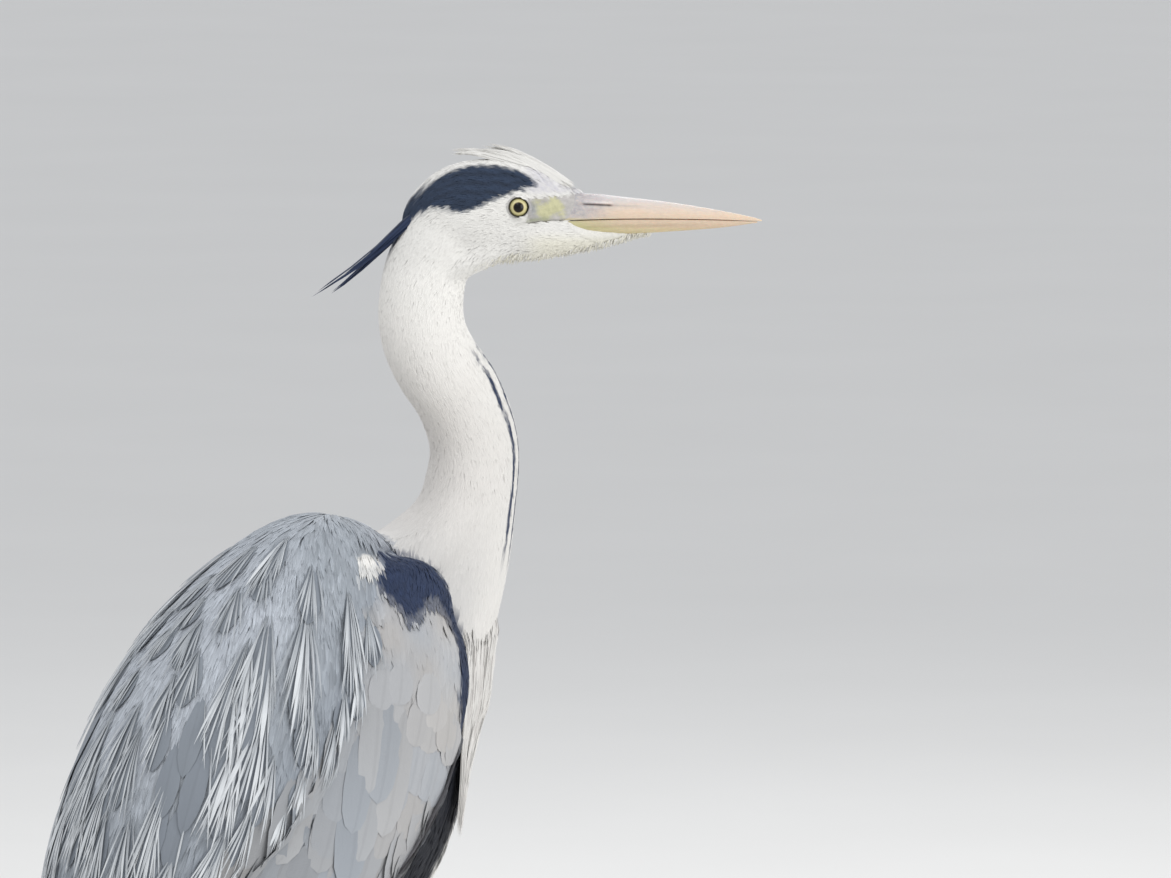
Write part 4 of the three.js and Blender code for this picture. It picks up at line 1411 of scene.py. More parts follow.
def coat(name, chosen, close, form, low, high, material, slot, seed, stray=8, tips=1.04, uneven=0.05,
         swell=0, avoid=None, size=None, own_share=0.3):
    """Small feathers scattered over part of the skin.

    close is their spacing as a share of their own size. low and high are how far over the skin their roots and
    their tips are, and swell how much further the tips stand off, at each triangle. stray is how far they turn
    from the coat's lie, in degrees; tips is the tone of their tips and uneven how much their tones differ. avoid
    tells which feathers to leave out. size is (length, width) where it isn't the usual one. own_share is how much
    of a feather's colour is that of its root, and not of the place it covers.
    """
    rng = np.random.default_rng(seed)
    usual = np.sqrt(long_all * wide_all) if size is None else math.sqrt(size[0] * size[1])
    roots = skin.roots(close * usual, chosen, seed)
    n = len(roots["place"])
    way, long, wide = lie.read(roots["place"])
    if size is not None:
        long, wide = 0 * long + size[0], 0 * wide + size[1]
    clump = np.radians(stray) * waves(roots["place"], 12, seed) + np.radians(2.5) * rng.normal(size=n)
    way = turned(way, roots["normal"], clump)
    long = long * rng.uniform(0.8, 1.25, n)
    wide = wide * rng.uniform(0.8, 1.2, n)
    shares = shares_of(form)
    centres, ups, spots = skin.follow(roots, way, long, shares)
    rise = high * rng.uniform(0.85, 1.1, n) + (0 if np.isscalar(swell) else swell[roots["tri"]])
    if avoid is not None:
        free = ~avoid(centres, spots)
        roots = {key: value[free] for key, value in roots.items()}
        spots = [{key: value[free] for key, value in spot.items() if len(value) == n} for spot in spots]
        centres, ups, rise, wide = centres[free], ups[free], rise[free], wide[free]
        n = len(wide)
    centres = lifted(centres, ups, shares, low, rise)
    own = plumage(roots["place"], roots["body"], roots["t"], roots["a"])
    here = np.stack([plumage(spot["place"], spot["body"], spot["t"], spot["a"]) for spot in spots], 1)
    tone = own[:, None] * own_share + here * (1 - own_share)
    tone = tone * (1 + uneven * rng.normal(size=n))[:, None, None]
    fade = np.interp(shares, (0, 0.4, 1), (0.92, 0.98, tips))
    tones = np.clip(tone * fade[None, :, None], 0, 1)
    thick = wide * 0.1 + 0.08
    return blades(name, form, centres, ups, wide, thick, tones, roots["uv"], material, slot, seed=seed)


ON_FACE = IS["skull"] | IS["chin"]
FEATHERED = bare(HEAD_H) < 0.5
BEHIND_BILL = (HEAD_H[:, 0] < 34) | (HEAD_H[:, 2] < -13 - 0.5 * (HEAD_H[:, 0] - 32)) | (HEAD_H[:, 2] > 7.5)
PATCH_AWAY, SPOT_AWAY = carpal(skin.middle)
SKIN_X, SKIN_Z = skin.middle[:, 0], skin.middle[:, 2]
AT_EDGE = IS["coverts"] & (forward_and_out(skin.middle) > WING_EDGE(SKIN_Z) + 1) & (SKIN_Z > 452)
ON_SHOULDER = (IS["cape"] | IS["coverts"]) & (np.minimum(PATCH_AWAY, SPOT_AWAY) < 1.02) | AT_EDGE
NECK_HIGH = skin.tri_t > 0.42
AT_NAPE_FOOT = smooth(0.36 - skin.tri_t, 0, 0.14) * smooth(np.sin(skin.tri_a), -0.35, 0.3) * IS["neck"]


def on_patch(points):
    """Whether points are over the carpal patch or the white spot."""
    return np.minimum(*carpal(points)) < 0.9


def leaves_mantle(centres, spots):
    """Which mantle feathers would run over the carpal patch or on to the neck."""
    return on_patch(centres).any(axis=1) | (KIND[spots[-1]["body"]] == "neck")


# a window between the plumes, where a broad feather shows
PANEL = {"place": (-79, 454), "wide": 17, "high": 29}


def in_panel(points):
    """Whether points are over the window in the plumes, measured like the carpal patch."""
    aside = (forward_and_out(points) - PANEL["place"][0]) / PANEL["wide"]
    return np.hypot(aside, (points[..., 2] - PANEL["place"][1]) / PANEL["high"]) < 1


coat(
    "head_feathers", ON_FACE & FEATHERED & BEHIND_BILL, 0.33, TUFT, 0.1, 0.7, SOFT, "white_plumage", 11,
    uneven=0.02,
)
coat(
    "neck_feathers_upper", IS["neck"] & NECK_HIGH, 0.28, TUFT, 0.1, 0.75, SOFT, "neck_plumage", 12,
    stray=5, uneven=0.012,
)
coat(
    "neck_feathers_lower", IS["neck"] & ~NECK_HIGH, 0.22, TUFT, 0.1, 0.7, SOFT, "neck_plumage", 18,
    stray=6, uneven=0.015, swell=1.2 * AT_NAPE_FOOT,
)
coat(
    "breast_feathers", IS["trunk"] | IS["thigh"], 0.3, PLUMELET, 0.6, 3.2, SOFT, "white_plumage", 13,
    tips=1.06,
)
coat(
    "mantle_feathers", IS["cape"] & ~ON_SHOULDER & (OVER_HEM > 12), 0.28, PLUMELET, 0.7, 1.9, FINE,
    "back_plumage", 14, stray=6, tips=1.1, uneven=0.09, swell=-1.0 * smooth(SKIN_X, 25, 60),
    avoid=leaves_mantle,
)
coat(
    "carpal_feathers", ON_SHOULDER, 0.28, TUFT, 1.0, 2.2, SOFT, "dark_plumage", 15,
    uneven=0.04, size=(11, 2.0), own_share=0.7,
)
coat(
    "covert_down", IS["coverts"] & ~ON_SHOULDER, 0.3, PLUMELET, 0.5, 1.4, SOFT, "covert_plumage", 16,
    stray=7, tips=1.03, uneven=0.02, size=(22, 5.0),
)


# ---------------------------------------------------------------- scapular plumes
def plume_fans():
    """Scapulars in tiers: each a grey web with a fan of long pale pointed plumes over it."""
    rng = np.random.default_rng(21)
    band = (OVER_HEM > 16) & (OVER_HEM < 122) & (skin.tri_t > 0.14) & (skin.tri_t < 0.86)
    fans = skin.roots(18.5, band & IS["cape"] & ~ON_SHOULDER, 22)
    count = len(fans["place"])
    above = above_hem(fans["place"])
    reach = np.minimum(rng.uniform(56, 88, count), np.maximum(above, 0) + rng.uniform(4, 24, count))
    upper = smooth(above, 92, 108)
    reach = reach * (1 - 0.4 * upper)
    way, _, _ = lie.read(fans["place"])
    shares = shares_of(PLUME_FORM)
    centres, ups, _ = skin.follow(fans, way, reach * 0.84, shares)
    off_patch = ~on_patch(centres).any(axis=1)
    centres = lifted(centres, ups, shares, 1.0, rng.uniform(2.6, 3.6, count), 0.6)
    # painted shade: the webs darken towards the hem, where the plumes hang over them
    deep = smooth(150 - above, 0, 90)
    web = mix(MANTLE, WEB, deep * rng.uniform(0.7, 1.0, count))
    fade = np.interp(shares, (0, 0.35, 1), (1.15, 1.02, 0.94))
    wide = rng.uniform(13, 18, count)[off_patch]
    blades(
        "scapular_webs", ROUND_WEB, centres[off_patch], ups[off_patch], wide, wide * 0.03 + 0.15,
        (web[:, None] * fade[None, :, None])[off_patch],
        fans["uv"][off_patch], VANE, "back_plumage", kind="vane", seed=23,
    )
    rows = {"place": [], "turn": [], "long": [], "wide": [], "pale": []}
    for centre, far, high in zip(fans["place"][off_patch], reach[off_patch], upper[off_patch]):
        rays = rng.integers(8, 13)
        bold = rng.integers(0, rays) if rng.random() < 0.5 * (1 - high) else -1
        rear = smooth(-centre[0], 40, 110)
        for k, spread in enumerate(np.linspace(-1, 1, rays)):
            rows["place"].append(centre + rng.normal(size=3) * 0.9)
            rows["turn"].append(spread * 12.5 + rng.normal() * 0.9)
            longer = 1.12 if k == bold else 1
            rows["long"].append(far * rng.uniform(0.78, 1.06) * (1 - 0.14 * spread**2) * longer)
            rows["wide"].append(rng.uniform(2.5, 3.7) if k == bold else rng.uniform(1.0, 1.7))
            rows["pale"].append(0.92 if k == bold else rng.uniform(0.2, 0.8) * (1 - 0.5 * high) + 0.25 * rear)
    rows = {key: np.array(value) for key, value in rows.items()}
    roots = skin.dress(rows["place"])
    way, _, _ = lie.read(roots["place"])
    way = turned(way, roots["normal"], np.radians(rows["turn"]))
    centres, ups, _ = skin.follow(roots, way, rows["long"], shares)
    free = ~(in_panel(centres[:, 2:6]).any(axis=1) | on_patch(centres).any(axis=1))
    centres, ups, roots_uv = centres[free], ups[free], roots["uv"][free]
    wide, pale = rows["wide"][free], rows["pale"][free]
    n = len(wide)
    centres = lifted(centres, ups, shares, 1.4, rng.uniform(4.4, 6.4, n), 0.6)
    share = np.clip(np.outer(pale, np.interp(shares, (0, 0.2, 0.6, 1), (0, 0.4, 1, 1))), 0, 1)
    tones = mix(np.broadcast_to(MANTLE, (*share.shape, 3)), PLUME, share)
    tones = np.minimum(tones * rng.uniform(0.95, 1.04, n)[:, None, None], 1)
    high = wide * 0.16 + 0.2
    blades(
        "scapular_plumes", PLUME_FORM, centres, ups, wide, high, tones, roots_uv, SILK, "back_plumage",
        seed=21,
    )


# ---------------------------------------------------------------- folded wings
def covert_feathers(side):
    """Rounded coverts in staggered rows down the folded wing, small at the wrist and long towards the rear."""
    wing = WINGS[side]["coverts"]
    rng = np.random.default_rng(30 + side)
    rows = []
    t, odd = 0.2, 0
    while t < 0.93:
        long = 26 + 48 * smooth(t, 0.05, 0.75)
        wide = 18 + 11 * smooth(t, 0.05, 0.7)
        girth = 1.25 * (wing.top(t) + wing.under(t)) + 8
        count = max(3, int(girth / (0.56 * wide)))
        for a in np.radians(np.linspace(-104, 118, count) + odd * 110 / count):
            rows.append((t + 0.014 * rng.normal(), a + 0.05 * rng.normal(), long, wide))
        t += 0.34 * long / wing.path.length
        odd = 1 - odd
    t, a, long, wide = np.array(rows).T
    t = np.clip(t, 0.004, 0.96)
    place = wing.surface(t, a, COAT_DEPTH["coverts"])
    keep = (above_hem(place) < 22) & ~on_patch(place) & (forward_and_out(place) < WING_EDGE(place[:, 2]))
    t, a, long, wide, place = (x[keep] for x in (t, a, long, wide, place))
    n = len(t)
    roots = skin.dress(place)
    forward, _, up = wing.axes(t)
    way = hang(forward, t) + up * (0.05 * rng.normal(size=n))[:, None]
    long = long * rng.uniform(0.9, 1.12, n)
    wide = wide * rng.uniform(0.92, 1.08, n)
    shares = shares_of(ROUND)
    centres, ups, _ = skin.follow(roots, way, long, shares)
    centres = lifted(centres, ups, shares, 1.0, 1.9 + 0.5 * t + 0.3 * rng.random(n), 0.7)
    tone = wing_colour(centres[:, 3], edged=False)
    apart = 0.25 + 0.75 * smooth(t, 0.4, 0.62)
    tint = mix(np.array([0.97, 1.0, 1.04]), np.array([1.04, 1.0, 0.96]), rng.random(n))
    change = (tint * rng.uniform(0.9, 1.06, n)[:, None] - 1) * apart[:, None]
    fade = np.interp(shares, (0, 0.5, 0.8, 1), (-0.06, -0.03, 0.0, 0.1))
    tones = np.minimum((tone * (1 + change))[:, None] * (1 + np.outer(apart, fade))[..., None], 1)
    name = f"wing_{SIDE_NAMES[side]}_covert_feathers"
    blades(
        name, ROUND, centres, ups, wide, wide * 0.03 + 0.12, tones, roots["uv"], VANE, "covert_plumage",
        kind="vane", shaft=0.46, seed=31,
    )


def edge_feathers(side):
    """Long dark grey feathers that curve along the wing's front edge, under the coverts."""
    wing = WINGS[side]["coverts"]
    rng = np.random.default_rng(45)
    shares = shares_of(ROUND)
    starts = np.array([0.2, 0.26, 0.32, 0.4])
    t = starts[:, None] + 0.32 * shares[None]
    a = np.radians(np.array([-74, -78, -82, -86]))[:, None] + 0 * t
    centres = wing.surface(t, a, 1.4)
    ups = unit(centres - wing.path.at(t))
    n = len(starts)
    fade = np.interp(shares, (0, 0.6, 1), (0.8, 1.0, 1.5))
    tones = (EDGE_GREY * rng.uniform(0.85, 1.15, n)[:, None])[:, None] * fade[None, :, None]
    wide, high = np.full(n, 15.0), np.full(n, 0.8)
    roots_uv = root_uv(centres[:, 1])
    name = f"wing_{SIDE_NAMES[side]}_edge_feathers"
    blades(name, ROUND, centres, ups, wide, high, tones, roots_uv, VANE, "flight_plumage", kind="vane", seed=46)


def broad_feathers(side):
    """The tertials and long scapulars: broad smooth grey blades that show between the plumes."""
    rng = np.random.default_rng(40 + side)
    starts, sizes = [], []
    for row, rise in enumerate((2, 22, 44)):
        for x in np.arange(-20 - 12 * row, -205, -21):
            z = HEM_REAR[1] + (x - HEM_REAR[0]) * (HEM_FRONT[1] - HEM_REAR[1]) / (HEM_FRONT[0] - HEM_REAR[0])
            starts.append((x + 30, side * 120, z + rise + 30))
            sizes.append((92 - 10 * row, 27 - 2 * row))
    place = np.array(starts) + rng.normal(size=(len(starts), 3)) * 2.5
    long, wide = np.array(sizes, float).T
    roots = skin.dress(place)
    way, _, _ = lie.read(roots["place"])
    shares = shares_of(ROUND)
    centres, ups, _ = skin.follow(roots, way, long * rng.uniform(0.92, 1.08, len(long)), shares)
    centres = lifted(centres, ups, shares, 0.5, 3.0 + rng.random(len(long)) * 0.8, 0.6)
    shade = 1.0 - 0.24 * smooth(-centres[:, 3, 0], 60, 130)
    tone = mix(COVERT_DARK, TERTIAL_PALE, rng.uniform(0, 0.9, len(long))) * shade[:, None]
    fade = np.interp(shares, (0, 0.6, 1), (0.85, 0.98, 1.08))
    tones = np.minimum(tone[:, None] * fade[None, :, None], 1)
    name = f"wing_{SIDE_NAMES[side]}_tertials"
    blades(
        name, ROUND, centres, ups, wide, wide * 0.03 + 0.2, tones, roots["uv"], VANE, "back_plumage",
        kind="vane", shaft=0.42, seed=41,
    )


def flight_feathers(side, which, count, spread, wide, tone, t_tip, slot):
    """The secondaries or primaries, stacked down the wing and each running to its own tip."""
    body = WINGS[side][which]
    rng = np.random.default_rng(50 + side)
    k = np.linspace(0, 1, count)
    shares = shares_of(QUILL)
    start = 0.02 + 0.1 * k
    end = t_tip[0] + (t_tip[1] - t_tip[0]) * k
    t = start[:, None] + (end - start)[:, None] * shares[None]
    a = np.radians(spread[0] + (spread[1] - spread[0]) * k)[:, None] * (1 - 0.45 * shares[None] ** 2)
    centres = body.surface(np.clip(t, 0, 1), a, 2.0)
    _, out, _ = body.axes(np.clip(t, 0, 1))
    layer = np.linspace(0, 2.6, count)[:, None, None]
    centres = centres + out * layer
    ups = unit(centres - body.path.at(np.clip(t, 0, 1)) + out * 14)
    base = mix(tone * 0.85, tone * 1.15, rng.random(count))
    fade = np.interp(shares, (0, 0.7, 1), (1.0, 0.95, 0.8))
    tones = np.minimum(base[:, None] * fade[None, :, None], 1)
    high = np.outer(np.full(count, 1.1), np.interp(shares, (0, 0.3, 1), (1, 1, 0.35)))
    roots_uv = root_uv(centres[:, 1])
    name = f"wing_{SIDE_NAMES[side]}_{which}"
    blades(
        name + "_feathers", QUILL, centres, ups, np.full(count, wide), high, tones, roots_uv, VANE, slot, name,
        kind="vane", shaft=0.3, seed=51,
    )


def tail_feathers():
    """Twelve rectrices, the middle pair on top."""
    count = 12
    k = np.linspace(-1, 1, count)
    shares = shares_of(QUILL)
    t = 0.02 + 0.96 * shares[None] - 0.05 * (np.abs(k) ** 2)[:, None] * shares[None]
    _, across, up = TAIL.axes(np.clip(t, 0, 1))
    off = k[:, None] * (0.62 * TAIL.half(t))
    rise = TAIL.top(t) * 0.7 * (1 - np.abs(k)[:, None] ** 2) + (1 - np.abs(k)[:, None]) * 2.4
    centres = TAIL.path.at(t) + across * off[..., None] + up * rise[..., None]
    ups = unit(up + across * (0.25 * k)[:, None, None])
    tone = mix(COVERT_DARK, FLIGHT, np.linspace(0.2, 0.6, count))
    fade = np.interp(shares, (0, 0.7, 1), (1.0, 0.95, 0.55))
    tones = tone[:, None] * fade[None, :, None]
    wide, high = np.full(count, 25.0), np.full(count, 0.9)
    roots_uv = root_uv(centres[:, 1])
    blades(
        "tail_feathers", QUILL, centres, ups, wide, high, tones, roots_uv, VANE, "back_plumage", "tail",
        kind="vane", shaft=0.45, seed=61,
    )


plume_fans()
for side in (RIGHT, LEFT):
    covert_feathers(side)
    edge_feathers(side)
    broad_feathers(side)
    flight_feathers(side, "secondaries", 11, (62, -50), 27, FLIGHT, (1.0, 0.8), "flight_plumage")
    flight_feathers(side, "primaries", 7, (45, -45), 19, PRIMARY, (1.0, 0.86), "flight_plumage")
tail_feathers()


# ---------------------------------------------------------------- long loose plumes
def strands(name, guides, upward, count, spread, reach, wide, tone, seed, slot, *replaced, roll=1.3):
    """Long feathers that run along given guide lines, in a loose bundle round each.

    spread is a bundle's radius at its root and at its tip. reach is the least share of its guide that a feather
    runs. upward is the way their flat sides face, and roll how far they turn from it.
    """
    rng = np.random.default_rng(seed)
    shares = shares_of(LANCET)
    centres, ups, size = [], [], []
    for guide in guides:
        path = Path(guide)
        for _ in range(count):
            t = shares * rng.uniform(reach, 1)
            aside = unit(rng.normal(size=3)) * math.sqrt(rng.random())
            centres.append(path.at(t) + aside * np.interp(t, (0, 1), spread)[:, None])
            turn = rng.uniform(-roll, roll)
            across = unit(np.cross(path.along(t), upward))
            ups.append(unit(across * math.sin(turn) + np.asarray(upward) * math.cos(turn)))
            size.append(wide * rng.uniform(0.7, 1.2))
    centres, ups, size = np.array(centres), np.array(ups), np.array(size)
    n = len(centres)
    tones = np.minimum(tone * rng.uniform(0.92, 1.05, n)[:, None, None] + 0 * centres, 1)
    high = size * 0.25 + 0.15
    roots_uv = root_uv(centres[:, 0])
    blades(name, LANCET, centres, ups, size, high, tones, roots_uv, SILK, slot, *replaced, seed=seed)


CREST = [
    [(34, 0, 13), (12, 0, 27), (-6, 0, 36), (-22, 0, 40)],
    [(32, 3, 13), (10, 3, 27), (-8, 3, 35), (-26, 2, 38)],
    [(30, -3, 13), (8, -3, 27), (-10, -3, 34), (-30, -2, 36)],
    [(14, 0, 23), (-8, 0, 31), (-30, 0, 35.5), (-46, 0, 35)],
    [(8, 3, 24), (-12, 3, 30), (-32, 2, 33.5), (-44, 1, 32)],
    [(8, -3, 24), (-12, -3, 30), (-32, -2, 33.5), (-44, -1, 33)],
]
strands(
    "crest_feathers", [from_head(line) for line in CREST], HEAD_AXES @ (0, -1, 0.5),
    44, (2.8, 1.0), 0.45, 2.2, WHITE, 71, "plume_plumage", "crown_tuft_upper", "crown_tuft_rear", roll=0.4,
)
NAPE = [
    [(-46, -8, 6), (-62, -6.5, -3.5), (-78, -6, -17.5), (-94, -5, -33), (-114, -4.5, -48.5), (-134, -4, -62)],
    [(-46, 8, 5), (-62, 6.5, -5.5), (-78, 6, -20.5), (-95, 5, -37), (-110, 4, -51.5), (-125, 3, -63)],
]
strands(
    "nape_plumes", [from_head(line) for line in NAPE], HEAD_AXES @ (-0.6, 0, 0.8),
    13, (3.6, 0.5), 0.5, 2.8, SLATE, 72, "dark_plumage", "nape_plume_right", "nape_plume_left",
)


def fringe(name, places, ways, longs, sag, outward, wide, tones, seed):
    """Loose hairlike feathers rooted at places in the head's frame; their tips hang lower by sag."""
    shares = shares_of(TUFT)
    centres = places[:, None] + ways[:, None] * (longs[:, None] * shares[None])[..., None]
    centres = from_head(centres + np.array([0, 0, -sag]) * (shares**2)[None, :, None])
    ups = np.broadcast_to(unit(outward @ HEAD_AXES.T)[:, None], centres.shape)
    tones = np.minimum(tones, 1)[:, None] + 0 * centres
    high = np.full(len(places), 0.25)
    roots_uv = root_uv(centres[:, 0])
    blades(name, TUFT, centres, ups, wide, high, tones, roots_uv, SOFT, "white_plumage", seed=seed)


def chin_fringe():
    """The loose edge of the white feathers under the bill and the chin."""
    rng = np.random.default_rng(75)
    n = 2100
    x = rng.uniform(-27, 87, n)
    places = (-27, -18, -10, 0, 14, 38, 60, 75, 87)
    bottom = np.interp(x, places, (-43, -39.5, -37.5, -36, -34.5, -30, -25.5, -20.5, -18))
    half = np.interp(x, (-27, 0, 14, 50, 87), (12, 10, 9, 5, 1.5))
    y = rng.uniform(-1, 1, n) * half
    z = bottom + 1.2 + 5 * (y / (half + 2)) ** 2 + rng.uniform(0, 3, n)
    ways = unit(np.stack([-0.55 + 0.2 * rng.normal(size=n), 0.1 * np.sign(y), -0.75 + 0 * x], 1))
    outward = np.stack([0 * x, np.sign(y) + 0.3 * rng.normal(size=n), 0 * x - 0.5], 1)
    tones = mix(WHITE, CREAM, rng.random(n)) * rng.uniform(0.94, 1.04, n)[:, None]
    longs = rng.uniform(2.2, 4.2, n) * np.interp(x, (50, 87), (1, 0.6))
    wide = rng.uniform(0.5, 0.8, n)
    fringe("chin_fringe", np.stack([x, y, z], 1), ways, longs, 1.2, outward, wide, tones, 76)


def forehead_fringe():
    """The short feathers that taper from the forehead on to the ridge of the bill."""
    rng = np.random.default_rng(77)
    n = 520
    x = 30 + 12.5 * rng.random(n)
    y = rng.uniform(-1, 1, n) * np.interp(x, (30, 42.5), (7, 1))
    z = -8.8 + 16.8 * np.sqrt(1 - (y / 9.5) ** 2)
    ways = unit(np.stack([0 * x - 1, 0.08 * np.sign(y), 0.78 + 0.1 * rng.normal(size=n)], 1))
    outward = np.stack([0 * x + 0.3, np.sign(y) * rng.uniform(0.2, 1, n), 0 * x + 1], 1)
    tones = mix(WHITE, FOREHEAD_GREY, rng.random(n)) * rng.uniform(0.94, 1.04, n)[:, None]
    longs = rng.uniform(5.5, 8.5, n) * np.interp(x, (30, 42.5), (1.0, 0.8))
    wide = rng.uniform(0.7, 1.0, n)
    fringe("forehead_fringe", np.stack([x, y, z], 1), ways, longs, 0.6, outward, wide, tones, 78)


def hanging_plumes():
    """Fine white plumes that hang loose from the foot of the neck over the breast."""
    rng = np.random.default_rng(81)
    n = 1700
    shares = shares_of(LANCET)
    start = rng.uniform(-0.06, 0.62, n)
    reach = np.minimum(rng.uniform(0.4, 0.62, n), rng.uniform(0.9, 1.04, n) - start)
    t = start[:, None] + reach[:, None] * shares[None]
    beside = np.where(rng.random(n) < 0.5, rng.uniform(150, 250, n), rng.uniform(-70, 30, n))
    a = np.where(rng.random(n) < 0.5, beside, rng.uniform(-60, 240, n))
    a = np.radians(a)[:, None] + np.radians(7) * rng.normal(size=n)[:, None] * shares[None]
    inside = np.clip(t, 0.001, 0.999)
    depth = 5.5
    surface = BREAST.surface(inside, a, depth)
    _, side, up = BREAST.axes(inside)
    half = np.maximum(BREAST.half(inside) - depth, 0.4)
    rise = np.maximum(np.where(np.sin(a) > 0, BREAST.top(inside), BREAST.under(inside)) - depth, 0.4)
    ups = unit(side * (np.cos(a) / half)[..., None] + up * (np.sin(a) / rise)[..., None])
    loose = rng.uniform(-1.2, 0.5, n)[:, None] + rng.uniform(0, 0.6, n)[:, None] * shares[None]
    over = (t - inside) * BREAST.path.length
    centres = surface + ups * loose[..., None] + BREAST.path.along(inside) * over[..., None]
    size = rng.uniform(1.8, 3.0, n)
    shade = np.where(rng.random(n) < 0.04, rng.uniform(0.82, 0.9, n), rng.uniform(0.96, 1.03, n))
    # painted light: the plumes are a tenth brighter than the white, to lift the shade that falls among them
    # between the wing and the breast
    tones = np.minimum(mix(WHITE, NECK_GREY, 0.5 * rng.random(n)) * 1.1 * shade[:, None], 1)
    tones = tones[:, None] + 0 * centres
    high = size * 0.1 + 0.08
    roots_uv = root_uv(centres[:, 0])
    blades(
        "hanging_plumes", LANCET, centres, ups, size, high, tones, roots_uv, SILK, "plume_plumage",
        "breast_plumes", seed=82,
    )


def draped_plumes():
    """Fine pale plumes that lie on the foot of the neck and run down along the front edges of the wings."""
    rng = np.random.default_rng(91)
    p = skin.middle
    u = forward_and_out(p)
    foot = (IS["neck"] & (skin.tri_t < 0.3) | IS["trunk"]) & (p[:, 0] > 72) & (p[:, 2] < 636) & (p[:, 2] > 500)
    roots = skin.roots(2.5, foot & (np.abs(p[:, 1]) > 10) & (u > WING_BAND(p[:, 2]) - 1), 92)
    thinned = rng.random(len(roots["place"])) < smooth(636 - roots["place"][:, 2], 0, 75)
    roots = {key: value[thinned] for key, value in roots.items()}
    n = len(roots["place"])
    u = forward_and_out(roots["place"])
    ways = np.stack([0.2 - 0.3 * smooth(u, 88, 125), 0 * u, 0 * u - 1], 1) + 0.05 * rng.normal(size=(n, 3))
    shares = shares_of(LANCET)
    centres, ups, _ = skin.follow(roots, unit(ways), rng.uniform(28, 60, n), shares)
    free = ~on_patch(centres).any(axis=1)
    centres, ups, roots_uv = centres[free], ups[free], roots["uv"][free]
    n = len(centres)
    centres = lifted(centres, ups, shares, 0.2, rng.uniform(0.6, 1.0, n))
    tones = np.minimum(mix(WHITE, NECK_GREY, rng.random(n)) * rng.uniform(0.95, 1.03, n)[:, None], 1)
    wide = rng.uniform(1.5, 2.5, n)
    high = wide * 0.05 + 0.04
    tones = tones[:, None] + 0 * centres
    blades("draped_plumes", LANCET, centres, ups, wide, high, tones, roots_uv, SILK, "plume_plumage", seed=93)


APRON = [
    # height, then x and y beside the wing, then x and y at the breast
    (395, 82, -49, 88, -46),
    (420, 84, -50, 94, -44),
    (440, 85, -51, 102, -40),
    (460, 87, -50, 118, -29),
    (485, 90, -50, 130, -28),
    (514, 94, -48, 135, -27),
    (530, 96, -45, 140, -26),
    (552, 94, -42, 143, -24),
    (575, 95, -39, 149, -22),
]


def apron_plumes():
    """Plumes that hang from the foot of the neck over the hollow between each wing and the breast."""
    rng = np.random.default_rng(95)
    n = 4200
    shares = shares_of(LANCET)
    top = rng.uniform(485, 550, n)
    low = np.where(rng.random(n) < 0.15, rng.uniform(398, 440, n), rng.uniform(442, 500, n))
    z = top[:, None] + (np.minimum(low, top - 40) - top)[:, None] * shares
    across = rng.uniform(-0.02, 1.5, n)[:, None] + 0.05 * rng.normal(size=n)[:, None] * shares
    behind_x, behind_y, front_x, front_y = (
        profile(*((row[0], row[k]) for row in APRON))(z) for k in range(1, 5)
    )
    behind, front = np.stack([behind_x, behind_y], -1), np.stack([front_x, front_y], -1)
    inner = np.stack([front_x + 3, front_y * 0.4], -1)
    beside, before = np.clip(across, None, 1), np.clip(2 * across - 2, 0, 1)
    run = unit(np.where((across < 1)[..., None], front - behind, inner - front))
    outward = np.stack([run[..., 1], -run[..., 0]], -1)
    full = 1.5 + 16 * smooth(z, 520, 560) * beside * (1 - beside)
    sunk = 4 * (1 - smooth(shares, 0, 0.35)) * smooth(top, 500, 530)[:, None]
    loose = full - sunk + rng.uniform(0, 0.9, n)[:, None] + rng.uniform(0, 0.5, n)[:, None] * shares
    place = behind + (front - behind) * beside[..., None] + (inner - front) * before[..., None]
    place = place + outward * loose[..., None]
    mirror = rng.choice([-1, 1], n)[:, None]
    centres = np.stack([place[..., 0], place[..., 1] * mirror, z], -1)
    turn = rng.uniform(-0.33, 0.33, n)[:, None]
    facing = outward * np.cos(turn)[..., None] + run * np.sin(turn)[..., None]
    ups = np.stack([facing[..., 0], facing[..., 1] * mirror, 0 * z], -1)
    tones = np.minimum(mix(WHITE, NECK_GREY, rng.random(n)) * rng.uniform(0.84, 1.0, n)[:, None], 1)
    wide = rng.uniform(1.6, 2.8, n)
    high = wide * 0.05 + 0.04
    tones = tones[:, None] + 0 * centres
    roots_uv = root_uv(centres[:, 0])
    blades("apron_plumes", LANCET, centres, ups, wide, high, tones, roots_uv, SILK, "plume_plumage", seed=96)


chin_fringe()
forehead_fringe()
hanging_plumes()
draped_plumes()
apron_plumes()


# ---------------------------------------------------------------- bill
NOSTRIL = {"from": 41, "to": 60, "groove": 92, "height": 1.9}


def bill_piece(name, body, node_name, sculpt):
    """One half of the bill, cut by its own sculpt function."""
    points, faces = body.grid(0, along=190, around=112, even=True)
    h, cut = sculpt(to_head(points))
    mesh = mesh_of(name, from_head(h), faces)
    paint(mesh, "Local", h)
    paint(mesh, "Plates_shade_and_highlight", cut)
    return make_object(name, mesh, node_name, slot="bill_horn", material=BILL)


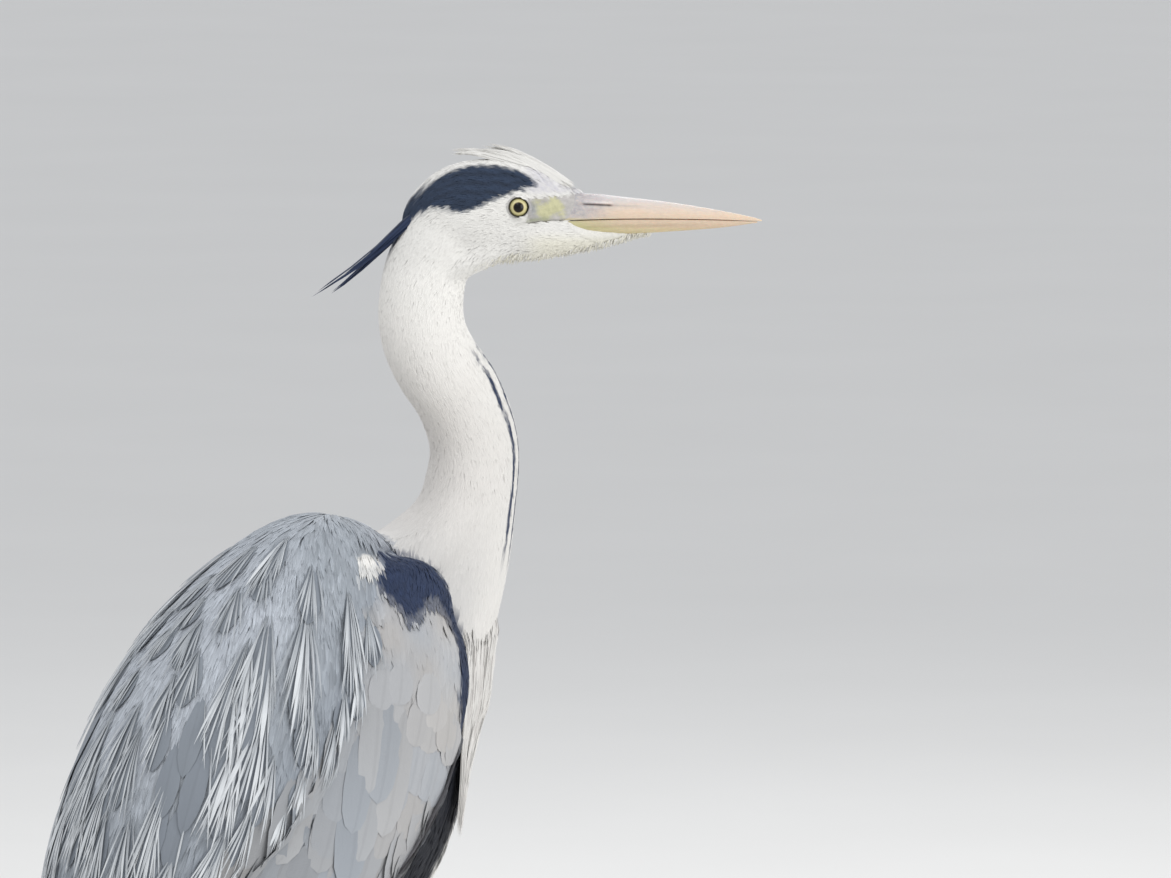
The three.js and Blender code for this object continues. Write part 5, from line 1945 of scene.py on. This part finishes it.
def sculpt_upper(h):
    """Cuts the nostril slit and its long groove, and rounds the ridge and the cutting edge."""
    x, y, z = h.T.copy()
    lift = z - (NOSTRIL["height"] - 0.03 * (x - NOSTRIL["from"]))
    slit = smooth(x, NOSTRIL["from"] - 1, NOSTRIL["from"] + 3) * smooth(NOSTRIL["to"] + 2 - x, 0, 4)
    groove = smooth(x, NOSTRIL["from"] - 6, NOSTRIL["from"]) * smooth(NOSTRIL["groove"] - x, 0, 34)
    cut = 1.5 * slit * bell(lift, 0.5) + 0.55 * groove * bell(lift, 0.8)
    flap = 0.45 * slit * bell(lift - 1.5, 0.8)
    edge = 0.35 * bell(z + 7.6, 0.7) * smooth(150 - x, 0, 30)
    y = np.sign(y) * np.maximum(np.abs(y) - (cut - flap - edge) * smooth(np.abs(y), 0.5, 2.5), 0)
    # the second value is painted shade in the slit and the groove, less a painted highlight on the flap above the
    # slit
    return np.stack([x, y, z], 1), cut - 1.6 * flap


def sculpt_lower(h):
    """Sinks a shallow furrow along each side of the lower bill."""
    x, y, z = h.T.copy()
    furrow = 0.35 * bell(z + 13.2 - 0.03 * (x - 40), 1.1) * smooth(x, 30, 50) * smooth(130 - x, 0, 40)
    y = np.sign(y) * np.maximum(np.abs(y) - furrow * smooth(np.abs(y), 0.5, 2.5), 0)
    z = np.where(z > -9.05, z - 0.12, z)
    # the second value is painted shade in the furrow
    return np.stack([x, y, z], 1), furrow


BILL = bill_material()
bill_piece("bill_upper_horn", BILL_UPPER, "bill_upper", sculpt_upper)
bill_piece("bill_lower_horn", BILL_LOWER, "bill_lower", sculpt_lower)


# ---------------------------------------------------------------- eyes
def eye(side, material):
    """A flattened ball with a low clear bulge over the iris."""
    grid = bmesh.new()
    bmesh.ops.create_uvsphere(grid, u_segments=64, v_segments=48, radius=1)
    mesh = bpy.data.meshes.new("eyeball")
    grid.to_mesh(mesh)
    grid.free()
    ball = np.array([v.co for v in mesh.vertices])
    ball = ball[:, [1, 2, 0]]  # the poles face outward
    reach = np.hypot(ball[:, 0], ball[:, 2]) * EYE["radius"]
    bulge = EYE["cornea"] * (1 - smooth(reach, 0, 6.2)) * (ball[:, 1] * side > 0)
    h = ball * (EYE["radius"], EYE["depth"], EYE["radius"])
    h[:, 1] += side * (EYE["out"] + bulge)
    faces = [tuple(p.vertices) for p in mesh.polygons]
    name = SIDE_NAMES[side]
    made = mesh_of(f"eyeball_{name}", from_head(h), faces)
    paint(made, "Local", h)
    return make_object(f"eyeball_{name}", made, f"eye_{name}", slot="eyeball", material=material)


EYE_FINISH = eye_material()
for side in (RIGHT, LEFT):
    eye(side, EYE_FINISH)

# ---------------------------------------------------------------- legs, toes and claws
TOE_RADIUS = 4.2
TOES = {"inner": (-22, 66, 12), "middle": (0, 84, 14), "outer": (30, 72, 12), "hind": (172, 44, 18)}
LEG_VOXEL = 0.9


def leg_bodies(side):
    """A leg's shin, tarsus, toes and claws."""
    stride, y = STRIDES[side], side * STANCE
    shin = Body(
        [(stride + 8, y, 292), (stride + 3, y, 270), (stride - 12, y, 212), (stride - 26, y, ANKLE_HEIGHT)],
        (0, 1, 0),
        profile((0, 5), (0.7, 4.6), (1, 6.5)),
        profile((0, 5.5), (0.7, 5), (1, 7.5)),
    )
    tarsus = Body(
        [
            (stride - 27, y, ANKLE_HEIGHT + 5),
            (stride - 22, y, 140),
            (stride - 8, y, 60),
            (stride, y, 14),
            (stride, y, -4),
        ],
        (0, 1, 0),
        profile((0, 6.4), (0.12, 5.4), (0.3, 4), (0.8, 4), (0.93, 6), (1, 7)),
        profile((0, 7.4), (0.12, 6), (0.3, 4.6), (0.8, 4.6), (0.93, 7), (1, 8)),
    )
    toes, claws = [], []
    for turn, long, claw in TOES.values():
        angle = side * math.radians(turn)
        c, s = math.cos(angle), math.sin(angle)

        def along(reach, z):
            return (stride + reach * c, y + reach * s, z)

        toes.append(Body(
            [along(3, 9), along(16, 3.8), along(long * 0.5, 3), along(long, 1.9)],
            (-s, c, 0),
            profile((0, TOE_RADIUS), (0.3, TOE_RADIUS), (0.9, 3.2), (1, 2.4)),
            profile((0, TOE_RADIUS + 1), (0.3, TOE_RADIUS), (0.9, 3.2), (1, 2.4)),
        ))
        claws.append(Body(
            [along(long - 4, 2.6), along(long + claw * 0.5, 3.6), along(long + claw, 0.6)],
            (-s, c, 0),
            profile((0, 2), (0.5, 1.5), (1, 0.5)),
            profile((0, 2.2), (0.5, 1.7), (1, 0.5)),
        ))
    return shin, tarsus, toes, claws


def scutes(t, length, pitch):
    """Overlapping plates down a limb's front: how proud each point is, 0 in the seams and 1 on the plates."""
    phase = (t * length / pitch) % 1
    return smooth(phase, 0.0, 0.16) * (1 - 0.45 * phase)


def cells(p, size):
    """Small rounded plates all over: 0 in the seams and 1 on the plates."""
    g = p / size
    best = np.full(p.shape[:-1], 9.0)
    second = best.copy()
    rng = np.random.default_rng(3)
    jitter = rng.uniform(-0.25, 0.25, (4096, 3))
    base = np.floor(g)
    for step in NEIGHBOURS:
        cell = base + step
        key = (cell @ (73, 179, 283)).astype(int) % len(jitter)
        d = np.linalg.norm(g - cell - 0.5 - jitter[key], axis=-1)
        second = np.where(d < best, best, np.minimum(second, d))
        best = np.minimum(best, d)
    return smooth(second - best, 0.02, 0.3)


def leg(side, material):
    """A shin, a tarsus and four toes as one surface, with scutes in front and small plates behind."""
    shin, tarsus, toes, _ = leg_bodies(side)
    bodies = [(shin, 5.2), (tarsus, 4.4)] + [(toe, 3.0) for toe in toes]
    grids = [body.grid(0.35, along=40, around=24, even=True) for body, _ in bodies]
    mesh = remeshed(*joined(grids), LEG_VOXEL, 3)
    co = np.array([v.co for v in mesh.vertices])
    n = normals_of(mesh)
    t = np.linspace(0, 1, 120)
    spots = np.vstack([np.c_[body.path.at(t), np.full(120, k), t] for k, (body, _) in enumerate(bodies)])
    found = nearest_of(co, spots[:, :3])
    number, t = spots[found, 3].astype(int), spots[found, 4]
    length = np.array([b.path.length for b, _ in bodies])[number]
    pitch = np.array([p for _, p in bodies])[number]
    ahead = np.where(number < 2, n[:, 0], n[:, 2])
    front = smooth(ahead, 0.1, 0.4)
    plate = scutes(t, length, pitch) * front + cells(co, np.array([2.2, 2.2, 2.6])) * (1 - front)
    co = co + n * (plate * 0.42)[:, None]
    co[:, 2] = np.maximum(co[:, 2], 0)
    set_points(mesh, co)
    mesh.polygons.foreach_set("use_smooth", np.ones(len(mesh.polygons), bool))
    paint(mesh, "Local", co)
    paint(mesh, "Plates_shade_and_highlight", plate)
    name = SIDE_NAMES[side]
    mesh.name = f"leg_{name}"
    nodes = [f"shin_{name}", f"tarsus_{name}"] + [f"toe_{name}_{toe}" for toe in TOES]
    return make_object(f"leg_{name}", mesh, *nodes, slot="leg_scutes", material=material)


def claws(side, material):
    """The four claws of a foot, each a piece of its own."""
    *_, bodies = leg_bodies(side)
    for toe, body in zip(TOES, bodies):
        p, f = body.grid(0, along=24, around=16, even=True)
        p[:, 2] = np.maximum(p[:, 2], 0.02)
        name = f"{SIDE_NAMES[side]}_{toe}"
        mesh = mesh_of(f"nail_{name}", p, f)
        paint(mesh, "Local", p)
        make_object(f"nail_{name}", mesh, f"claw_{name}", slot="claw_horn", material=material)


LEG_FINISH, CLAW_FINISH = leg_material(), claw_material()
for side in (RIGHT, LEFT):
    leg(side, LEG_FINISH)
    claws(side, CLAW_FINISH)


# ---------------------------------------------------------------- floor, light and camera
def floor():
    """The pale ground under the feet, which belongs to the stage."""
    mesh = bpy.data.meshes.new("floor")
    half = 40
    corners = [(-half, -half, 0), (half, -half, 0), (half, half, 0), (-half, half, 0)]
    mesh.from_pydata(corners, [], [(0, 1, 2, 3)])
    f = Finish("floor_finish")
    mottle = f.noise(f.add_node("ShaderNodeTexCoord", {})["Object"], 3.0, 4.0)
    base = f.ramp(mottle, (0.3, colour(221, 220, 217)), (0.7, colour(223, 222, 219)))
    mesh.materials.append(f.done(base, 0.85))
    plane = bpy.data.objects.new("floor", mesh)
    bpy.context.scene.collection.objects.link(plane)


VIEW_TURN, VIEW_DOWN = math.radians(42), math.radians(6)
DISTANCE = 8.0
TARGET = Vector((0.1676, -0.0446, 0.657))
FRAME_WIDTH = 0.76115  # how much the frame takes in at the target, in metres
SENSOR = 36
FORWARD = Vector((
    math.sin(VIEW_TURN) * math.cos(VIEW_DOWN),
    math.cos(VIEW_TURN) * math.cos(VIEW_DOWN),
    -math.sin(VIEW_DOWN),
))
RIGHTWARD = Vector((math.cos(VIEW_TURN), -math.sin(VIEW_TURN), 0))
UPWARD = RIGHTWARD.cross(FORWARD)


def camera():
    """A long lens from behind the bird's right side, a little above it, as in the photo."""
    data = bpy.data.cameras.new("camera")
    data.sensor_width = SENSOR
    data.lens = SENSOR * DISTANCE / FRAME_WIDTH
    data.clip_end = 200
    made = bpy.data.objects.new("camera", data)
    made.location = TARGET - FORWARD * DISTANCE
    made.rotation_euler = FORWARD.to_track_quat("-Z", "Y").to_euler()
    bpy.context.scene.collection.objects.link(made)
    bpy.context.scene.camera = made


def lamp(name, right, up, back, size, power, tone=(1, 1, 1)):
    """A soft square lamp, placed from the target along the camera's axes and aimed at the bird."""
    data = bpy.data.lights.new(name, "AREA")
    data.size = size
    data.energy = power
    data.color = tone
    made = bpy.data.objects.new(name, data)
    made.location = TARGET + RIGHTWARD * right + UPWARD * up - FORWARD * back
    made.rotation_euler = (TARGET - Vector(made.location)).to_track_quat("-Z", "Y").to_euler()
    bpy.context.scene.collection.objects.link(made)


def lights():
    """Soft lamps and an even sky."""
    lamp("key", -1.0, 2.6, 1.8, 2.4, 38)
    lamp("fill", 2.4, 0.4, 1.8, 2.6, 50)
    lamp("rim", 0.6, 2.2, -2.2, 1.6, 36)
    world = bpy.data.worlds.new("studio")
    world.use_nodes = True
    world.node_tree.nodes["Background"].inputs["Color"].default_value = (0.86, 0.88, 0.92, 1)
    world.node_tree.nodes["Background"].inputs["Strength"].default_value = 0.86
    bpy.context.scene.world = world
    bpy.context.scene.view_settings.view_transform = "Standard"


floor()
camera()
lights()
